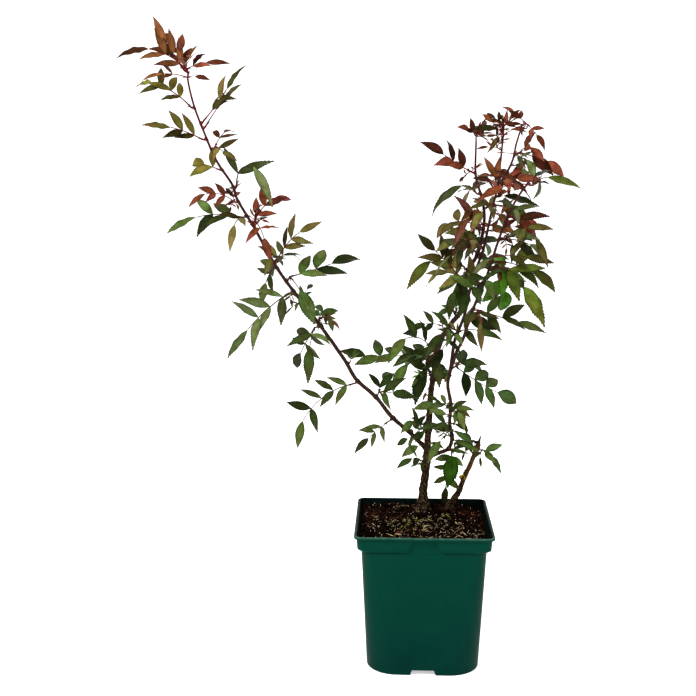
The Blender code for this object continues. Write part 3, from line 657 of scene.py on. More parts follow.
# %% [markdown]
# The inside of the pot is nearly black, partly stained by damp compost and partly painted shade, and the
# top of the lip behind the front takes painted shade too. Its creases, such as round the panel, take
# painted shade. A mask worked out from place alone would spill over the lip, so two attributes of the
# mesh say where: one holds the stain and painted shade at each point, and the other marks the narrow
# faces that lie in a crease, which are painted in shade.

# %% Note the stain and painted shade, and which narrow faces lie in a crease for painted shade
LIP_SHADE = 0.8
FACES_INWARDS = -0.02
FACES_UP = 0.4
CREASE_BEND = -0.25
CREASE_AREA = 30 * MM ** 2


def stain_and_shade_at(vert):
    """Stain and painted shade: 1 on the inside, less on top of the lip except in front, and 0 on the outside.
    """
    if vert.normal.x * vert.co.x + vert.normal.y * vert.co.y < FACES_INWARDS:
        return 1.0
    # The top of the lip behind the front takes painted shade only.
    on_lip = vert.normal.z > FACES_UP and vert.co.z > LIP_FOOT
    return LIP_SHADE if on_lip and vert.co.y > -BODY_HALF_TOP else 0.0


shape = bmesh.new()
shape.from_mesh(pot.data)
stains_and_shade = [stain_and_shade_at(vert) for vert in shape.verts]
for vert in shape.verts:
    vert.tag = sum(edge.calc_face_angle_signed(0) for edge in vert.link_edges) < CREASE_BEND
crease_shades = [float(all(v.tag for v in face.verts) and face.calc_area() < CREASE_AREA) for face in shape.faces]
shape.free()
pot.data.attributes.new("inner", "FLOAT", "POINT").data.foreach_set("value", stains_and_shade)
pot.data.attributes.new("crease", "FLOAT", "FACE").data.foreach_set("value", crease_shades)
print("faces in creases:", int(sum(crease_shades)))

# %% [markdown]
# The plastic is dark green with a satin sheen. It is a little lighter and greyer towards the top, it has
# clouds of dust and a very fine moulded texture, and its lip is paler: a painted highlight, partly wear
# where pots are stacked. Its inside and its creases take painted shade. One flat green would look like
# paper, so the colour is built up in layers, each laid over the last by its own mask.

# %% Green plastic
PLASTIC_GLOSS = 0.015
PLASTIC_ROUGHNESS = (0.38, 0.5)
PLASTIC_RELIEF = (0.12, 0.2 * MM)
GREYER_HEIGHTS = (20 * MM, 165 * MM)
DUST_SCALE = 26.0
DUST_SHARE = 0.3
SHEEN_AND_WEAR_HEIGHTS = (173.2 * MM, 174.8 * MM)
SHEEN_AND_WEAR_SHARE = (0.15, 0.6)
SCUFF_SCALE = 420.0
SCUFF_SIZE = 0.16
SCUFF_SHARE = 0.08

plastic, tree, shader, coordinates = new_finish("green_plastic", PLASTIC_GLOSS)
place = coordinates["Object"]
split = node(tree, "ShaderNodeSeparateXYZ")
join(tree, place, split.inputs[0])
height = split.outputs["Z"]
dust = place_group(tree, mottle, place, Scale=DUST_SCALE)
scuffs = place_group(tree, flecks, place, Scale=SCUFF_SCALE, Size=SCUFF_SIZE)
crease = node(tree, "ShaderNodeAttribute", attribute_name="crease").outputs["Fac"]
inner = node(tree, "ShaderNodeAttribute", attribute_name="inner").outputs["Fac"]
# A paler band along the top of the lip: painted highlight, partly wear where pots are stacked.
sheen_and_wear = reckon(tree, "MULTIPLY", remap(tree, height, *SHEEN_AND_WEAR_HEIGHTS),
                remap(tree, dust["Grain"], 0.1, 0.6, *SHEEN_AND_WEAR_SHARE))
LAYERS = (
    (remap(tree, height, *GREYER_HEIGHTS), paint(0, 47, 35)),  # greyer towards the top
    (reckon(tree, "MULTIPLY", dust["Cloud"], DUST_SHARE), paint(3, 50, 38)),  # dust in clouds
    # painted shade in the creases, such as round the panel
    (crease, paint(0, 12, 10)),
    # painted highlight along the lip, partly wear
    (sheen_and_wear, paint(70, 100, 86)),
    # painted shade inside the pot and on the lip behind the front, with some stain from compost
    (inner, paint(2, 12, 10)),
    (reckon(tree, "MULTIPLY", scuffs["Spots"], SCUFF_SHARE), paint(60, 92, 78)),
)
colour = paint(0, 38, 32)
for mask, layer in LAYERS:
    colour = blend_colours(tree, mask, colour, layer)
join(tree, colour, shader.inputs["Base Color"])
join(tree, remap(tree, dust["Cloud"], 0, 1, *PLASTIC_ROUGHNESS), shader.inputs["Roughness"])
add_relief(tree, shader, dust["Grain"], *PLASTIC_RELIEF)
finish_piece(pot, plastic, "pot_plastic", "pot", smooth=32)

# %% [markdown]
# ## Compost
# The pot is filled to just under its lip with dark, barky compost. Its surface is a fine grid, pulled
# into the pot's rounded square and roughened by noise at three sizes. Only the top shows, so the rest
# is a plain plug that reaches down to the floor of the pot.

# %% The height of the compost
CRUMBLE = ((16 * MM, 1.5 * MM), (6 * MM, 1.1 * MM), (2.4 * MM, 0.7 * MM))
MOUND_RADIUS = 15 * MM
MOUND_HEIGHT = 1.6 * MM
BACK_RISE = 4 * MM
BACK_RISE_END = 1.3
STEM_FEET = (Vector((0, 40 * MM)), Vector((35 * MM, 50 * MM)))
PANEL_SETBACK = 4.6 * MM
PANEL_EDGE = 6 * MM


def smooth_step(value):
    """Rises softly from 0 to 1 as the value does."""
    value = min(max(value, 0), 1)
    return value * value * (3 - 2 * value)


def past_corner(x, y):
    """How far a place lies past the start of the compost's rounded corner, across and back."""
    return max(abs(x) - SOIL_HALF + RIM_CORNER, 0), max(abs(y) - SOIL_HALF + RIM_CORNER, 0)


def soil_reach(x):
    """How far the compost goes towards the front wall, which comes in behind the panel."""
    return SOIL_HALF - PANEL_SETBACK * smooth_step((PANEL_HALF_FOOT + PANEL_EDGE - abs(x)) / PANEL_EDGE)


def soil_height(x, y):
    """The compost's surface: level, lower along the walls, with a little mound round each stem."""
    from_wall = SOIL_HALF - max(abs(x), abs(y))
    height = SOIL_EDGE_TOP + (SOIL_TOP - SOIL_EDGE_TOP) * smooth_step(from_wall / SOIL_SLOPE)
    height += BACK_RISE * smooth_step(y / SOIL_HALF) * smooth_step(BACK_RISE_END - x / SOIL_HALF)
    for size, depth in CRUMBLE:
        height += noise.noise(Vector((x, y, size)) / size) * depth
    for foot in STEM_FEET:
        height += MOUND_HEIGHT * math.exp(-((Vector((x, y)) - foot).length / MOUND_RADIUS) ** 2)
    return height


print("compost in the middle:", round(soil_height(0, 0) / MM, 1), "mm high")

# %% The surface of the compost
SOIL_CELLS = 130
SOIL_PLUG = ((BODY_TOP - 3 * MM, 0.92), (POT_FLOOR + 2 * GAP, 0.74))

deselect()
bpy.ops.mesh.primitive_grid_add(x_subdivisions=SOIL_CELLS, y_subdivisions=SOIL_CELLS, size=2 * SOIL_HALF)
compost = bpy.context.object
compost.name = "compost"
for vert in compost.data.vertices:
    spare = Vector(past_corner(vert.co.x, vert.co.y))
    if spare.x and spare.y:
        pull = max(spare) / spare.length
        vert.co.x -= math.copysign(spare.x * (1 - pull), vert.co.x)
        vert.co.y -= math.copysign(spare.y * (1 - pull), vert.co.y)
    if vert.co.y < 0:
        vert.co.y *= soil_reach(vert.co.x) / SOIL_HALF
    vert.co.z = soil_height(vert.co.x, vert.co.y)
only(compost)
bpy.ops.object.mode_set(mode="EDIT")
bpy.ops.mesh.select_all(action="SELECT")
bpy.ops.mesh.region_to_loop()
for depth, narrow in SOIL_PLUG:
    bpy.ops.mesh.extrude_edges_move()
    shape = bmesh.from_edit_mesh(compost.data)
    for vert in shape.verts:
        if vert.select:
            vert.co = Vector((vert.co.x * narrow, vert.co.y * narrow, depth))
    bmesh.update_edit_mesh(compost.data)
bpy.ops.mesh.edge_face_add()
bpy.ops.object.mode_set(mode="OBJECT")
close_and_face_out(compost)
print("compost:", len(compost.data.polygons), "faces")

# %% [markdown]
# Wet compost is nearly black and matt, and whatever lies in it is earthy too. One recipe serves them
# all, from the black ground to white grit: two colours in clouds, a fine grain as relief, and pale
# specks where they are asked for.

# %% A finish for earthy things
SPECK_SCALE = 900.0
SPECK_SIZE = 0.26
GROUND_SPECKS = paint(60, 46, 30)
EARTHY_RELIEF = (0.6, 0.4 * MM)


def crumbly(name, dark, light, roughness, scale, specks=None):
    """A matt earthy finish: two colours in clouds, fine grain, and a few pale specks where asked."""
    material, tree, shader, coordinates = new_finish(name, 0)
    shader.inputs["Roughness"].default_value = roughness
    clouds = place_group(tree, mottle, coordinates["Object"], Scale=scale)
    colour = blend_colours(tree, clouds["Cloud"], dark, light)
    if specks:
        dots = place_group(tree, flecks, coordinates["Object"], Scale=SPECK_SCALE, Size=SPECK_SIZE)
        colour = blend_colours(tree, dots["Spots"], colour, specks)
    join(tree, colour, shader.inputs["Base Color"])
    add_relief(tree, shader, clouds["Grain"], *EARTHY_RELIEF)
    return material


ground = crumbly("black_compost", paint(3, 1, 1), paint(12, 6, 3), 0.95, 120.0, GROUND_SPECKS)
finish_piece(compost, ground, "compost", "soil", smooth=60)

# %% [markdown]
# Compost looks rich because of what lies in it: black crumbs, reddish bark, pale fibres and sticks,
# white grit and a few strands of moss and of rusty peat. Each kind is one small mesh, copied many times
# with its own turn, size and place, and joined into one piece.

# %% Small things in the compost


def add_crumb():
    """A rough lump of 20 faces."""
    deselect()
    bpy.ops.mesh.primitive_ico_sphere_add(subdivisions=1, radius=0.5)
    crumb = bpy.context.object
    bpy.ops.object.mode_set(mode="EDIT")
    bpy.ops.transform.vertex_random(offset=0.13, seed=3)
    bpy.ops.object.mode_set(mode="OBJECT")
    return template(crumb)


def add_chip():
    """A flat splinter of bark with worn corners."""
    deselect()
    bpy.ops.mesh.primitive_cube_add(size=1)
    chip = bpy.context.object
    bpy.ops.object.mode_set(mode="EDIT")
    bpy.ops.mesh.select_all(action="SELECT")
    bpy.ops.mesh.bevel(offset=0.16, segments=1, affect="EDGES")
    bpy.ops.transform.vertex_random(offset=0.07, seed=5)
    bpy.ops.object.mode_set(mode="OBJECT")
    return template(chip)


def add_fibre():
    """A bent straw, drawn out of a six-sided stub."""
    deselect()
    bpy.ops.mesh.primitive_cylinder_add(vertices=6, radius=0.5, depth=0.34, rotation=(0, math.pi / 2, 0))
    fibre = bpy.context.object
    apply_place(fibre)
    bpy.ops.object.mode_set(mode="EDIT")
    for side, rise in ((1, 0.25), (-1, 0.1)):
        pick(fibre, "faces", lambda face: face.normal.x * side > 0.9)
        bpy.ops.mesh.extrude_region_move(TRANSFORM_OT_translate={"value": (0.33 * side, 0, rise)})
        bpy.ops.transform.resize(value=(1, 0.6, 0.6))
    bpy.ops.object.mode_set(mode="OBJECT")
    return template(fibre)


crumb_pattern = add_crumb()
chip_pattern = add_chip()
fibre_pattern = add_fibre()
print("faces of a crumb, a chip and a fibre:",
      *(len(pattern[1]) for pattern in (crumb_pattern, chip_pattern, fibre_pattern)))

# %% [markdown]
# The bits aren't spread evenly. Bark, straw, sticks and moss lie in patches, so those kinds are drawn
# round a few centres, given in millimetres from the middle of the pot. What would stand in a stem or in
# the wall is drawn again.

# %% Scatter them
STEM_CLEARANCE = 8 * MM
WALL_CLEARANCE = 1.5 * MM
MOSSY_SPOTS = [(-24, -10), (-14, 4), (-22, -20), (24, 20)]
RUSTY_SPOTS = [(-16, -60), (-30, -44), (60, 28)]
STICK_SPOTS = [(46, -52), (4, -36), (-34, -54), (40, 4)]
BARKY_SPOTS = [(52, 34), (62, 14), (34, 56), (-54, 26), (-62, 6), (-30, 50), (-10, -44), (44, -30)]
STRAWY_SPOTS = [(-48, -22), (-60, -2), (-28, -6), (2, -26), (24, -36), (54, -26), (60, -48), (-6, -60),
                (24, 2), (-22, 62)]


def lies_free(x, y, margin):
    """Whether a bit with this margin stays clear of the walls, the corners and the stems here."""
    inside = abs(x) < SOIL_HALF - margin and margin - soil_reach(x) < y < SOIL_HALF - margin
    by_stem = any((Vector((x, y)) - foot).length < STEM_CLEARANCE for foot in STEM_FEET)
    return inside and not by_stem and math.hypot(*past_corner(x, y)) <= RIM_CORNER - margin


def scatter(name, pattern, count, lengths, widths, heights, sink, tip, centres=None, spread=8):
    """Copies a pattern over the compost. Sizes are ranges in millimetres, and tip is in degrees."""
    rng = random.Random(name)
    copies = []
    while len(copies) < count:
        if centres:
            centre = rng.choice(centres)
            x, y = (rng.gauss(value, spread) * MM for value in centre)
        else:
            x, y = (rng.uniform(-1, 1) * SOIL_HALF for _ in range(2))
        size = [rng.uniform(*reach) * MM for reach in (lengths, widths, heights)]
        if not lies_free(x, y, WALL_CLEARANCE + size[0] / 2):
            continue
        turn = Matrix.Rotation(rng.uniform(0, 2 * math.pi), 3, "Z")
        lean = Matrix.Rotation(math.radians(rng.uniform(-tip, tip)), 3, "Y")
        roll = Matrix.Rotation(math.radians(rng.uniform(-tip, tip)), 3, "X")
        place = np.array((x, y, soil_height(x, y) + size[2] * sink))
        copies.append((pattern[0] * size) @ np.array(turn @ lean @ roll).T + place)
    return joined_copies(name, pattern, copies)


COMPOST_BITS = {
    "compost_crumbs": (
        crumbly("black_crumbs", paint(2, 1, 1), paint(17, 9, 5), 0.95, 70.0),
        {"pattern": crumb_pattern, "count": 1500, "lengths": (1.8, 7), "widths": (1.5, 5),
         "heights": (1.2, 4), "sink": 0.1, "tip": 60}),
    "bark_chips": (
        crumbly("red_bark", paint(8, 4, 2), paint(58, 30, 20), 0.85, 60.0),
        {"pattern": chip_pattern, "count": 300, "lengths": (2.5, 10), "widths": (1.2, 3.2),
         "heights": (0.6, 1.3), "sink": 0.35, "tip": 30, "centres": BARKY_SPOTS, "spread": 14}),
    "pale_fibres": (
        crumbly("straw", paint(30, 20, 10), paint(232, 214, 172), 0.8, 170.0),
        {"pattern": fibre_pattern, "count": 330, "lengths": (1.5, 10), "widths": (0.2, 0.6),
         "heights": (0.2, 0.6), "sink": 1.6, "tip": 35, "centres": STRAWY_SPOTS, "spread": 18}),
    "pale_sticks": (
        crumbly("stick", paint(60, 46, 26), paint(220, 196, 134), 0.8, 170.0),
        {"pattern": fibre_pattern, "count": 9, "lengths": (7, 12), "widths": (1, 1.7),
         "heights": (0.8, 1.3), "sink": 1.6, "tip": 18, "centres": STICK_SPOTS, "spread": 6}),
    "white_grit": (
        crumbly("grit", paint(120, 110, 92), paint(232, 226, 214), 0.8, 200.0),
        {"pattern": crumb_pattern, "count": 150, "lengths": (0.6, 1.6), "widths": (0.6, 1.4),
         "heights": (0.5, 1.2), "sink": 0.9, "tip": 60}),
    "moss_strands": (
        crumbly("moss", paint(30, 32, 8), paint(146, 146, 64), 0.85, 170.0),
        {"pattern": fibre_pattern, "count": 46, "lengths": (2, 7), "widths": (0.4, 1.1),
         "heights": (0.4, 0.9), "sink": 1.8, "tip": 35, "centres": MOSSY_SPOTS}),
    "rusty_strands": (
        crumbly("rust", paint(48, 18, 10), paint(160, 92, 60), 0.85, 170.0),
        {"pattern": fibre_pattern, "count": 18, "lengths": (3, 8), "widths": (0.5, 1.2),
         "heights": (0.5, 1), "sink": 1.8, "tip": 35, "centres": RUSTY_SPOTS}),
}
for name, (material, layout) in COMPOST_BITS.items():
    finish_piece(scatter(name, **layout), material, "compost", smooth=30)

# %% [markdown]
# ## Woody stems
# Each stem is a tapering limb along a smooth curve through a few stations, as in the plain model. A
# curve with a round bevel, turned into a mesh, gives its tube. The points are then pushed in and out by
# noise that is stretched along the stem, which makes cracks on the old wood and fine lines on the young.

# %% Stations of the limbs
LIMBS = {
    "main_stem": {
        "stations": [
            (0, 40, 168.3), (0, 40, 178), (1, 40, 200), (4, 40, 223), (5, 40, 247), (7, 40, 283),
            (9, 40, 321), (13, 42, 350), (17, 45, 375), (24, 48, 394), (35, 52, 410), (45, 56, 424),
            (48, 58, 452), (54, 57, 475), (64, 56, 492), (70, 58, 514), (73, 62, 541), (69, 66, 565),
            (62, 70, 590), (62, 74, 632),
        ],
        "diameters": (9.6, 1.6), "youth": (0, 0.9), "nodes": ("trunk", "left_stem"),
    },
    "long_cane": {
        "stations": [
            (4, 40, 252), (-18, 36, 274), (-40, 30, 295), (-59, 25, 320), (-83, 20, 343),
            (-98, 16, 369), (-130, 8, 416), (-164, 0, 462), (-182, -3, 490), (-203, -6, 529),
            (-222, -9, 562), (-228, -10, 580), (-246, -12, 608), (-260, -14, 642), (-270, -16, 670),
            (-276, -18, 698), (-275, -18, 709),
        ],
        "diameters": (5.2, 1.6), "youth": (0.22, 1), "nodes": ("long_cane_low", "long_cane_high"),
    },
    "middle_stem": {
        "stations": [
            (5, 39, 240), (20, 30, 249), (31, 24, 256), (35, 21, 270), (32, 20, 290), (33, 20, 313),
            (29, 20, 337), (32, 20, 355), (36, 20, 389), (41, 22, 403), (49, 26, 425), (54, 28, 450),
            (60, 28, 474), (70, 30, 502), (78, 31, 542), (86, 33, 578), (89, 34, 608), (92, 36, 643),
        ],
        "diameters": (4.6, 1.6), "youth": (0.2, 0.95), "nodes": ("middle_stem_low", "middle_stem_high"),
    },
    "right_stem": {
        "stations": [
            (33, 20, 361), (36, 13, 370), (39, 9, 381), (46, 3, 397), (53, -6, 424), (62, -12, 450),
            (72, -17, 477), (83, -22, 515), (94, -28, 547), (106, -32, 570), (116, -35, 584),
        ],
        "diameters": (3.6, 1.8), "youth": (0.42, 0.95), "nodes": ("right_stem",),
    },
    "right_shoot": {
        "stations": [
            (86, 33, 578), (95, 26, 592), (102, 20, 609), (105, 16, 626), (109, 14, 641),
            (111, 12, 650),
        ],
        "diameters": (2.4, 1.4), "youth": (0.8, 1), "nodes": ("right_shoot",),
    },
    "cut_stem": {
        "stations": [
            (35, 50, 168.3), (35, 50, 174), (39, 49, 182), (45, 48, 192), (53, 46, 214),
            (61, 44, 234), (67, 42, 251), (72, 41, 268),
        ],
        "diameters": (6.4, 5.2), "youth": (0.02, 0.1), "nodes": ("cut_stem",),
    },
}
FLARES = {"main_stem": 3.7 * MM, "cut_stem": 2.4 * MM}
FLARE_LENGTH = 10 * MM
FLARE_RUNS = (4 * MM, 8 * MM)
LIMB_SPACING = 15 * MM
FINE_SPACING = 1.3 * MM
CURVE_STEPS = 12


def smooth_path(stations, spacing, first=()):
    """Points at about this spacing on a smooth curve through the stations, with some at the first runs."""
    ends = [2 * stations[0] - stations[1], *stations, 2 * stations[-1] - stations[-2]]
    dense = []
    for a, b, c, d in zip(ends, ends[1:], ends[2:], ends[3:]):
        for step in range(CURVE_STEPS):
            t = step / CURVE_STEPS
            bend = 2 * b + (c - a) * t + (2 * a - 5 * b + 4 * c - d) * t ** 2
            dense.append((bend + (3 * b - a - 3 * c + d) * t ** 3) / 2)
    dense.append(stations[-1])
    total = sum((q - p).length for p, q in zip(dense, dense[1:]))
    count = max(2, round(total / spacing))
    wanted = [*first, *(total * i / count for i in range(1, count))]
    points = [dense[0]]
    run = 0
    for p, q in zip(dense, dense[1:]):
        step = (q - p).length
        while wanted and run + step >= wanted[0]:
            points.append(p.lerp(q, (wanted.pop(0) - run) / step))
        run += step
    return [*points, dense[-1]]


class Limb:
    """A tapering woody limb: its path, and its thickness anywhere along it."""

    def __init__(self, name, spec):
        self.name = name
        stations = [Vector(s) * MM for s in spec["stations"]]
        first = FLARE_RUNS if name in FLARES else ()
        self.path = smooth_path(stations, LIMB_SPACING, first)
        if first:
            self.path[1] = self.path[0] + UP * first[0]
        self.runs = [0]
        for p, q in zip(self.path, self.path[1:]):
            self.runs.append(self.runs[-1] + (q - p).length)
        self.length = self.runs[-1]
        self.root_radius, self.tip_radius = (d * MM / 2 for d in spec["diameters"])
        self.flare = FLARES.get(name, 0)
        self.youth = spec["youth"]
        self.fine = smooth_path(stations, FINE_SPACING)

    def at(self, run):
        """The point this far along, and the direction there."""
        run = min(max(run, 0), self.length)
        for i in range(1, len(self.path)):
            if run <= self.runs[i] or i == len(self.path) - 1:
                step = self.path[i] - self.path[i - 1]
                share = (run - self.runs[i - 1]) / step.length
                return self.path[i - 1] + step * share, step.normalized()

    def radius(self, run):
        """How thick the plain limb is there: an even taper, with a flare at the foot of the old stems."""
        taper = self.root_radius + (self.tip_radius - self.root_radius) * run / self.length
        return taper + self.flare * math.exp(-run / FLARE_LENGTH)

    def youth_at(self, run):
        """How young the wood is there, from 0 for old to 1 for this year's tip."""
        return self.youth[0] + (self.youth[1] - self.youth[0]) * min(run / self.length, 1)


limbs = {name: Limb(name, spec) for name, spec in LIMBS.items()}
for name, limb in limbs.items():
    print(name, round(limb.length / MM), "mm long")

# %% [markdown]
# ## The sprays
# The leaves stand in sprays, and each spray keeps the place of one plain node. A spray is a short stem
# on its limb, from which compound leaves grow. They were placed one by one, because where they stand
# gives the plant its likeness. The table names each spray's limb, how far along it the spray is in
# millimetres, and its leaves.

# %% Sprays and their leaves


class Leaf(NamedTuple):
    """A compound leaf, in degrees and millimetres. Its size is the length of its end leaflet."""

    angle: float  # in the picture: 0 to the right, 90 upwards
    turn: float  # towards the viewer
    reach: float  # from the limb to its end
    droop: float  # between its two ends
    size: float
    colour: str
    most_pairs: int = 4
    width: float = 0  # of its blades for a length of 1, where it isn't the usual one


SPRAYS = {
    "spray_cane_tip": ("long_cane", 547, [
        (150, 20, 51, 38, 37, "copper"), (122, -25, 43, 15, 32, "red"),
        (25, 15, 24, 20, 27, "red"), (75, 60, 32, 40, 24, "copper")]),
    "spray_cane_left_1": ("long_cane", 505, [(151, -30, 76, 28, 32, "olive")]),
    "spray_cane_right_1": ("long_cane", 486, [(47, 30, 60, -10, 34, "bronze")]),
    "spray_cane_left_2": ("long_cane", 467, [(160, 35, 48, 15, 32, "olive")]),
    "spray_cane_right_2": ("long_cane", 454, [
        (60, -40, 31, 25, 26, "copper"), (355, 50, 26, 0, 29, "olive")]),
    "spray_cane_left_3": ("long_cane", 428, [(165, -45, 37, 5, 37, "olive")]),
    "spray_cane_right_3": ("long_cane", 403, [(45, 25, 40, 100, 50, "grey", 4, 0.2)]),
    "spray_cane_left_4": ("long_cane", 386, [
        (165, 20, 41, 50, 24, "red"), (130, -55, 34, 20, 22, "plum")]),
    "spray_cane_left_5": ("long_cane", 367, [
        (181, 5, 60, 30, 40, "green"), (215, 50, 24, 45, 31, "bronze")]),
    "spray_cane_right_4": ("long_cane", 356, [
        (50, -25, 41, 40, 31, "red"), (65, 45, 31, 60, 15, "plum"),
        (320, 50, 34, 30, 29, "red")]),
    "spray_cane_right_5": ("long_cane", 303, [
        (50, 20, 53, 28, 30, "bronze"), (30, -45, 28, 33, 29, "grey"),
        (90, 75, 34, 40, 26, "bronze")]),
    "spray_cane_left_7": ("long_cane", 296, [
        (230, -30, 28, 20, 31, "green"), (180, -75, 40, 30, 31, "green")]),
    "spray_cane_right_6": ("long_cane", 277, [
        (20, -25, 62, -5, 42, "green", 4, 0.36), (332, 35, 24, 20, 44, "dark", 4, 0.42)]),
    "spray_cane_left_8": ("long_cane", 262, [(219, 25, 74, 18, 40, "grey", 4, 0.3)]),
    "spray_cane_right_7": ("long_cane", 213, [
        (20, -50, 18, 60, 20, "green"), (60, -78, 46, 30, 31, "green")]),
    "spray_cane_left_9": ("long_cane", 209, [
        (235, -30, 53, 5, 35, "grey", 4, 0.34), (245, 50, 39, 33, 42, "green")]),
    "spray_cane_left_10": ("long_cane", 124, [(214, 15, 84, 50, 35, "green")]),
    "spray_cane_right_8": ("long_cane", 94, [
        (65, -35, 25, 18, 31, "green"), (25, 40, 30, 5, 35, "green")]),
    "spray_cane_left_11": ("long_cane", 59, [(215, 30, 42, 5, 25, "green")]),
    "spray_left_long": ("main_stem", 205, [
        (185, -15, 93, -20, 37, "green"), (150, 35, 56, 65, 35, "green"),
        (220, 30, 24, 12, 46, "dark")]),
    "spray_behind_low": ("main_stem", 172, [
        (140, -55, 50, 45, 33, "green"), (60, -80, 58, 40, 33, "dark")]),
    "spray_red_left": ("main_stem", 441, [(150, 15, 48, -10, 31, "red")]),
    "spray_green_arch": ("main_stem", 415, [
        (155, -20, 26, 70, 55, "grey"), (170, -75, 48, 35, 31, "bronze")]),
    "spray_left_mid": ("main_stem", 371, [
        (172, -35, 51, 40, 31, "bronze"), (150, 50, 40, 60, 40, "plum", 4, 0.27),
        (215, 20, 34, 25, 33, "bronze")]),
    "spray_left_olive": ("main_stem", 304, [
        (135, 20, 57, 5, 31, "bronze"), (220, 45, 26, 18, 35, "green", 4, 0.32),
        (170, -35, 40, 40, 33, "bronze")]),
    "spray_behind_high": ("main_stem", 338, [
        (40, -70, 56, 45, 33, "green"), (140, -60, 44, 40, 31, "bronze")]),
    "spray_top_left": ("main_stem", 485, [
        (125, 30, 20, 25, 18, "red"), (65, -40, 26, 5, 18, "plum")]),
    "spray_trunk_left": ("main_stem", 108, [
        (145, 30, 28, 60, 24, "green"), (210, -20, 31, -15, 22, "green")]),
    "spray_trunk_low": ("main_stem", 67, [(155, 40, 26, 40, 24, "dark")]),
    "spray_base_leaf": ("middle_stem", 35, [
        (300, 35, 12, 0, 40, "bright"), (268, -10, 54, 10, 26, "green")]),
    "spray_yellow_tip": ("middle_stem", 52, [(200, 30, 16, 8, 31, "green")]),
    "spray_small_right": ("middle_stem", 85, [
        (320, 30, 18, 15, 22, "green"), (30, 75, 36, 40, 26, "green"),
        (150, 45, 36, 30, 29, "green")]),
    "spray_right_long": ("middle_stem", 137, [
        (330, -20, 73, -10, 35, "dark", 4, 0.52), (5, -45, 34, 20, 33, "dark", 4, 0.48)]),
    "spray_front": ("middle_stem", 180, [
        (165, 60, 44, 50, 35, "green", 4, 0.36), (215, 55, 40, 30, 31, "green", 4, 0.34),
        (20, 40, 30, 30, 33, "green", 4, 0.32)]),
    "spray_crown_right": ("middle_stem", 262, [
        (350, -35, 52, 25, 40, "green"), (25, -60, 50, 35, 35, "grey", 4, 0.32)]),
    "spray_crown_left": ("middle_stem", 288, [
        (190, 15, 42, 35, 33, "grey"), (150, 50, 40, 45, 31, "bronze")]),
    "spray_olive_middle": ("middle_stem", 340, [
        (0, 50, 25, 16, 37, "long"), (200, 60, 30, 30, 29, "bronze"),
        (345, -30, 30, 10, 33, "olive")]),
    "spray_red_middle": ("middle_stem", 374, [
        (0, 45, 28, -10, 29, "red"), (195, 60, 36, -10, 26, "plum", 4, 0.3)]),
    "spray_top_middle": ("middle_stem", 432, [
        (125, -20, 19, 15, 16, "olive"), (65, 30, 17, 0, 18, "red")]),
    "spray_top_right": ("right_shoot", 79, [
        (325, 25, 22, 5, 20, "red"), (120, -35, 19, 5, 18, "red")]),
    "spray_right_red": ("right_shoot", 45, [
        (345, -15, 40, 13, 37, "red"), (20, 40, 25, 60, 24, "red")]),
    "spray_right_olive": ("right_stem", 243, [
        (20, 20, 24, 48, 40, "long"), (35, -50, 28, 95, 33, "grey", 4, 0.34),
        (185, 35, 36, 25, 33, "red")]),
    "spray_red_low": ("right_stem", 199, [
        (345, -30, 26, 0, 35, "red"), (60, 70, 34, 50, 29, "grey"),
        (322, 30, 44, 20, 35, "bronze", 4, 0.28)]),
    "spray_red_lower": ("right_stem", 171, [
        (20, 35, 24, 5, 31, "grey", 4, 0.3), (350, -20, 40, 25, 35, "grey", 4, 0.34)]),
    "spray_right_big": ("right_stem", 143, [
        (324, 20, 48, 20, 52, "long"), (296, -45, 60, 15, 40, "bright"),
        (348, -10, 50, 22, 42, "long")]),
    "spray_right_front": ("right_stem", 112, [
        (190, 65, 46, 35, 35, "green", 4, 0.32), (80, 75, 48, 45, 33, "green", 4, 0.32),
        (150, 40, 38, 40, 31, "bronze")]),
    "spray_right_lower": ("right_stem", 82, [
        (345, 10, 54, 0, 37, "green"), (300, 60, 28, 40, 33, "bronze", 4, 0.28)]),
    "spray_stub_right": ("cut_stem", 90, [(340, 25, 20, 27, 26, "green")]),
    "spray_stub_left": ("cut_stem", 96, [(185, -40, 19, -25, 24, "green")]),
}
print("sprays:", len(SPRAYS), "with", sum(len(spray[2]) for spray in SPRAYS.values()), "leaves")

# %% [markdown]
# ## Bark
# A stem swells a little where a spray or another stem leaves it, and the old trunk spreads into
# buttresses where it meets the compost. The swellings go into the curve's radius, and the buttresses and
# the cracks are made by moving points of the mesh. The mesh also keeps two attributes: how young the
# wood is, and a map that runs round and along the stem for the pattern of the bark.

# %% Swellings
NODE_SWELL = 0.28
NODE_LENGTH = 2.2 * MM
FORK_SWELL = 0.35
FORK_LENGTH = 5 * MM
FORK_AT = 2 * MM
SNAG_LENGTH = 16 * MM
SNAG_THIN = 0.3
FOOT_SPREAD = {"main_stem": 3.6 * MM, "cut_stem": 1.6 * MM}
FOOT_LENGTH = 14 * MM
BARK_THICKNESS = 0.3 * MM


def swollen_radius(name, run):
    """The limb's radius with its knots: one at each spray, and a collar at its own root."""
    limb = limbs[name]
    radius = limb.radius(run) + BARK_THICKNESS + FOOT_SPREAD.get(name, 0) * math.exp(-run / FOOT_LENGTH)
    for limb_name, at, _ in SPRAYS.values():
        if limb_name == name and at * MM < limb.length:
            radius *= 1 + NODE_SWELL * math.exp(-((run - at * MM) / NODE_LENGTH) ** 2)
    if name not in FLARES:
        radius *= 1 + FORK_SWELL * math.exp(-((run - FORK_AT) / FORK_LENGTH) ** 2)
    if name == "cut_stem":
        left = limb.length - run
        radius *= 1 - (1 - SNAG_THIN) * smooth_step(1 - left / SNAG_LENGTH)
    return radius


print("trunk at the compost:", round(2 * swollen_radius("main_stem", 0) / MM, 1), "mm across")

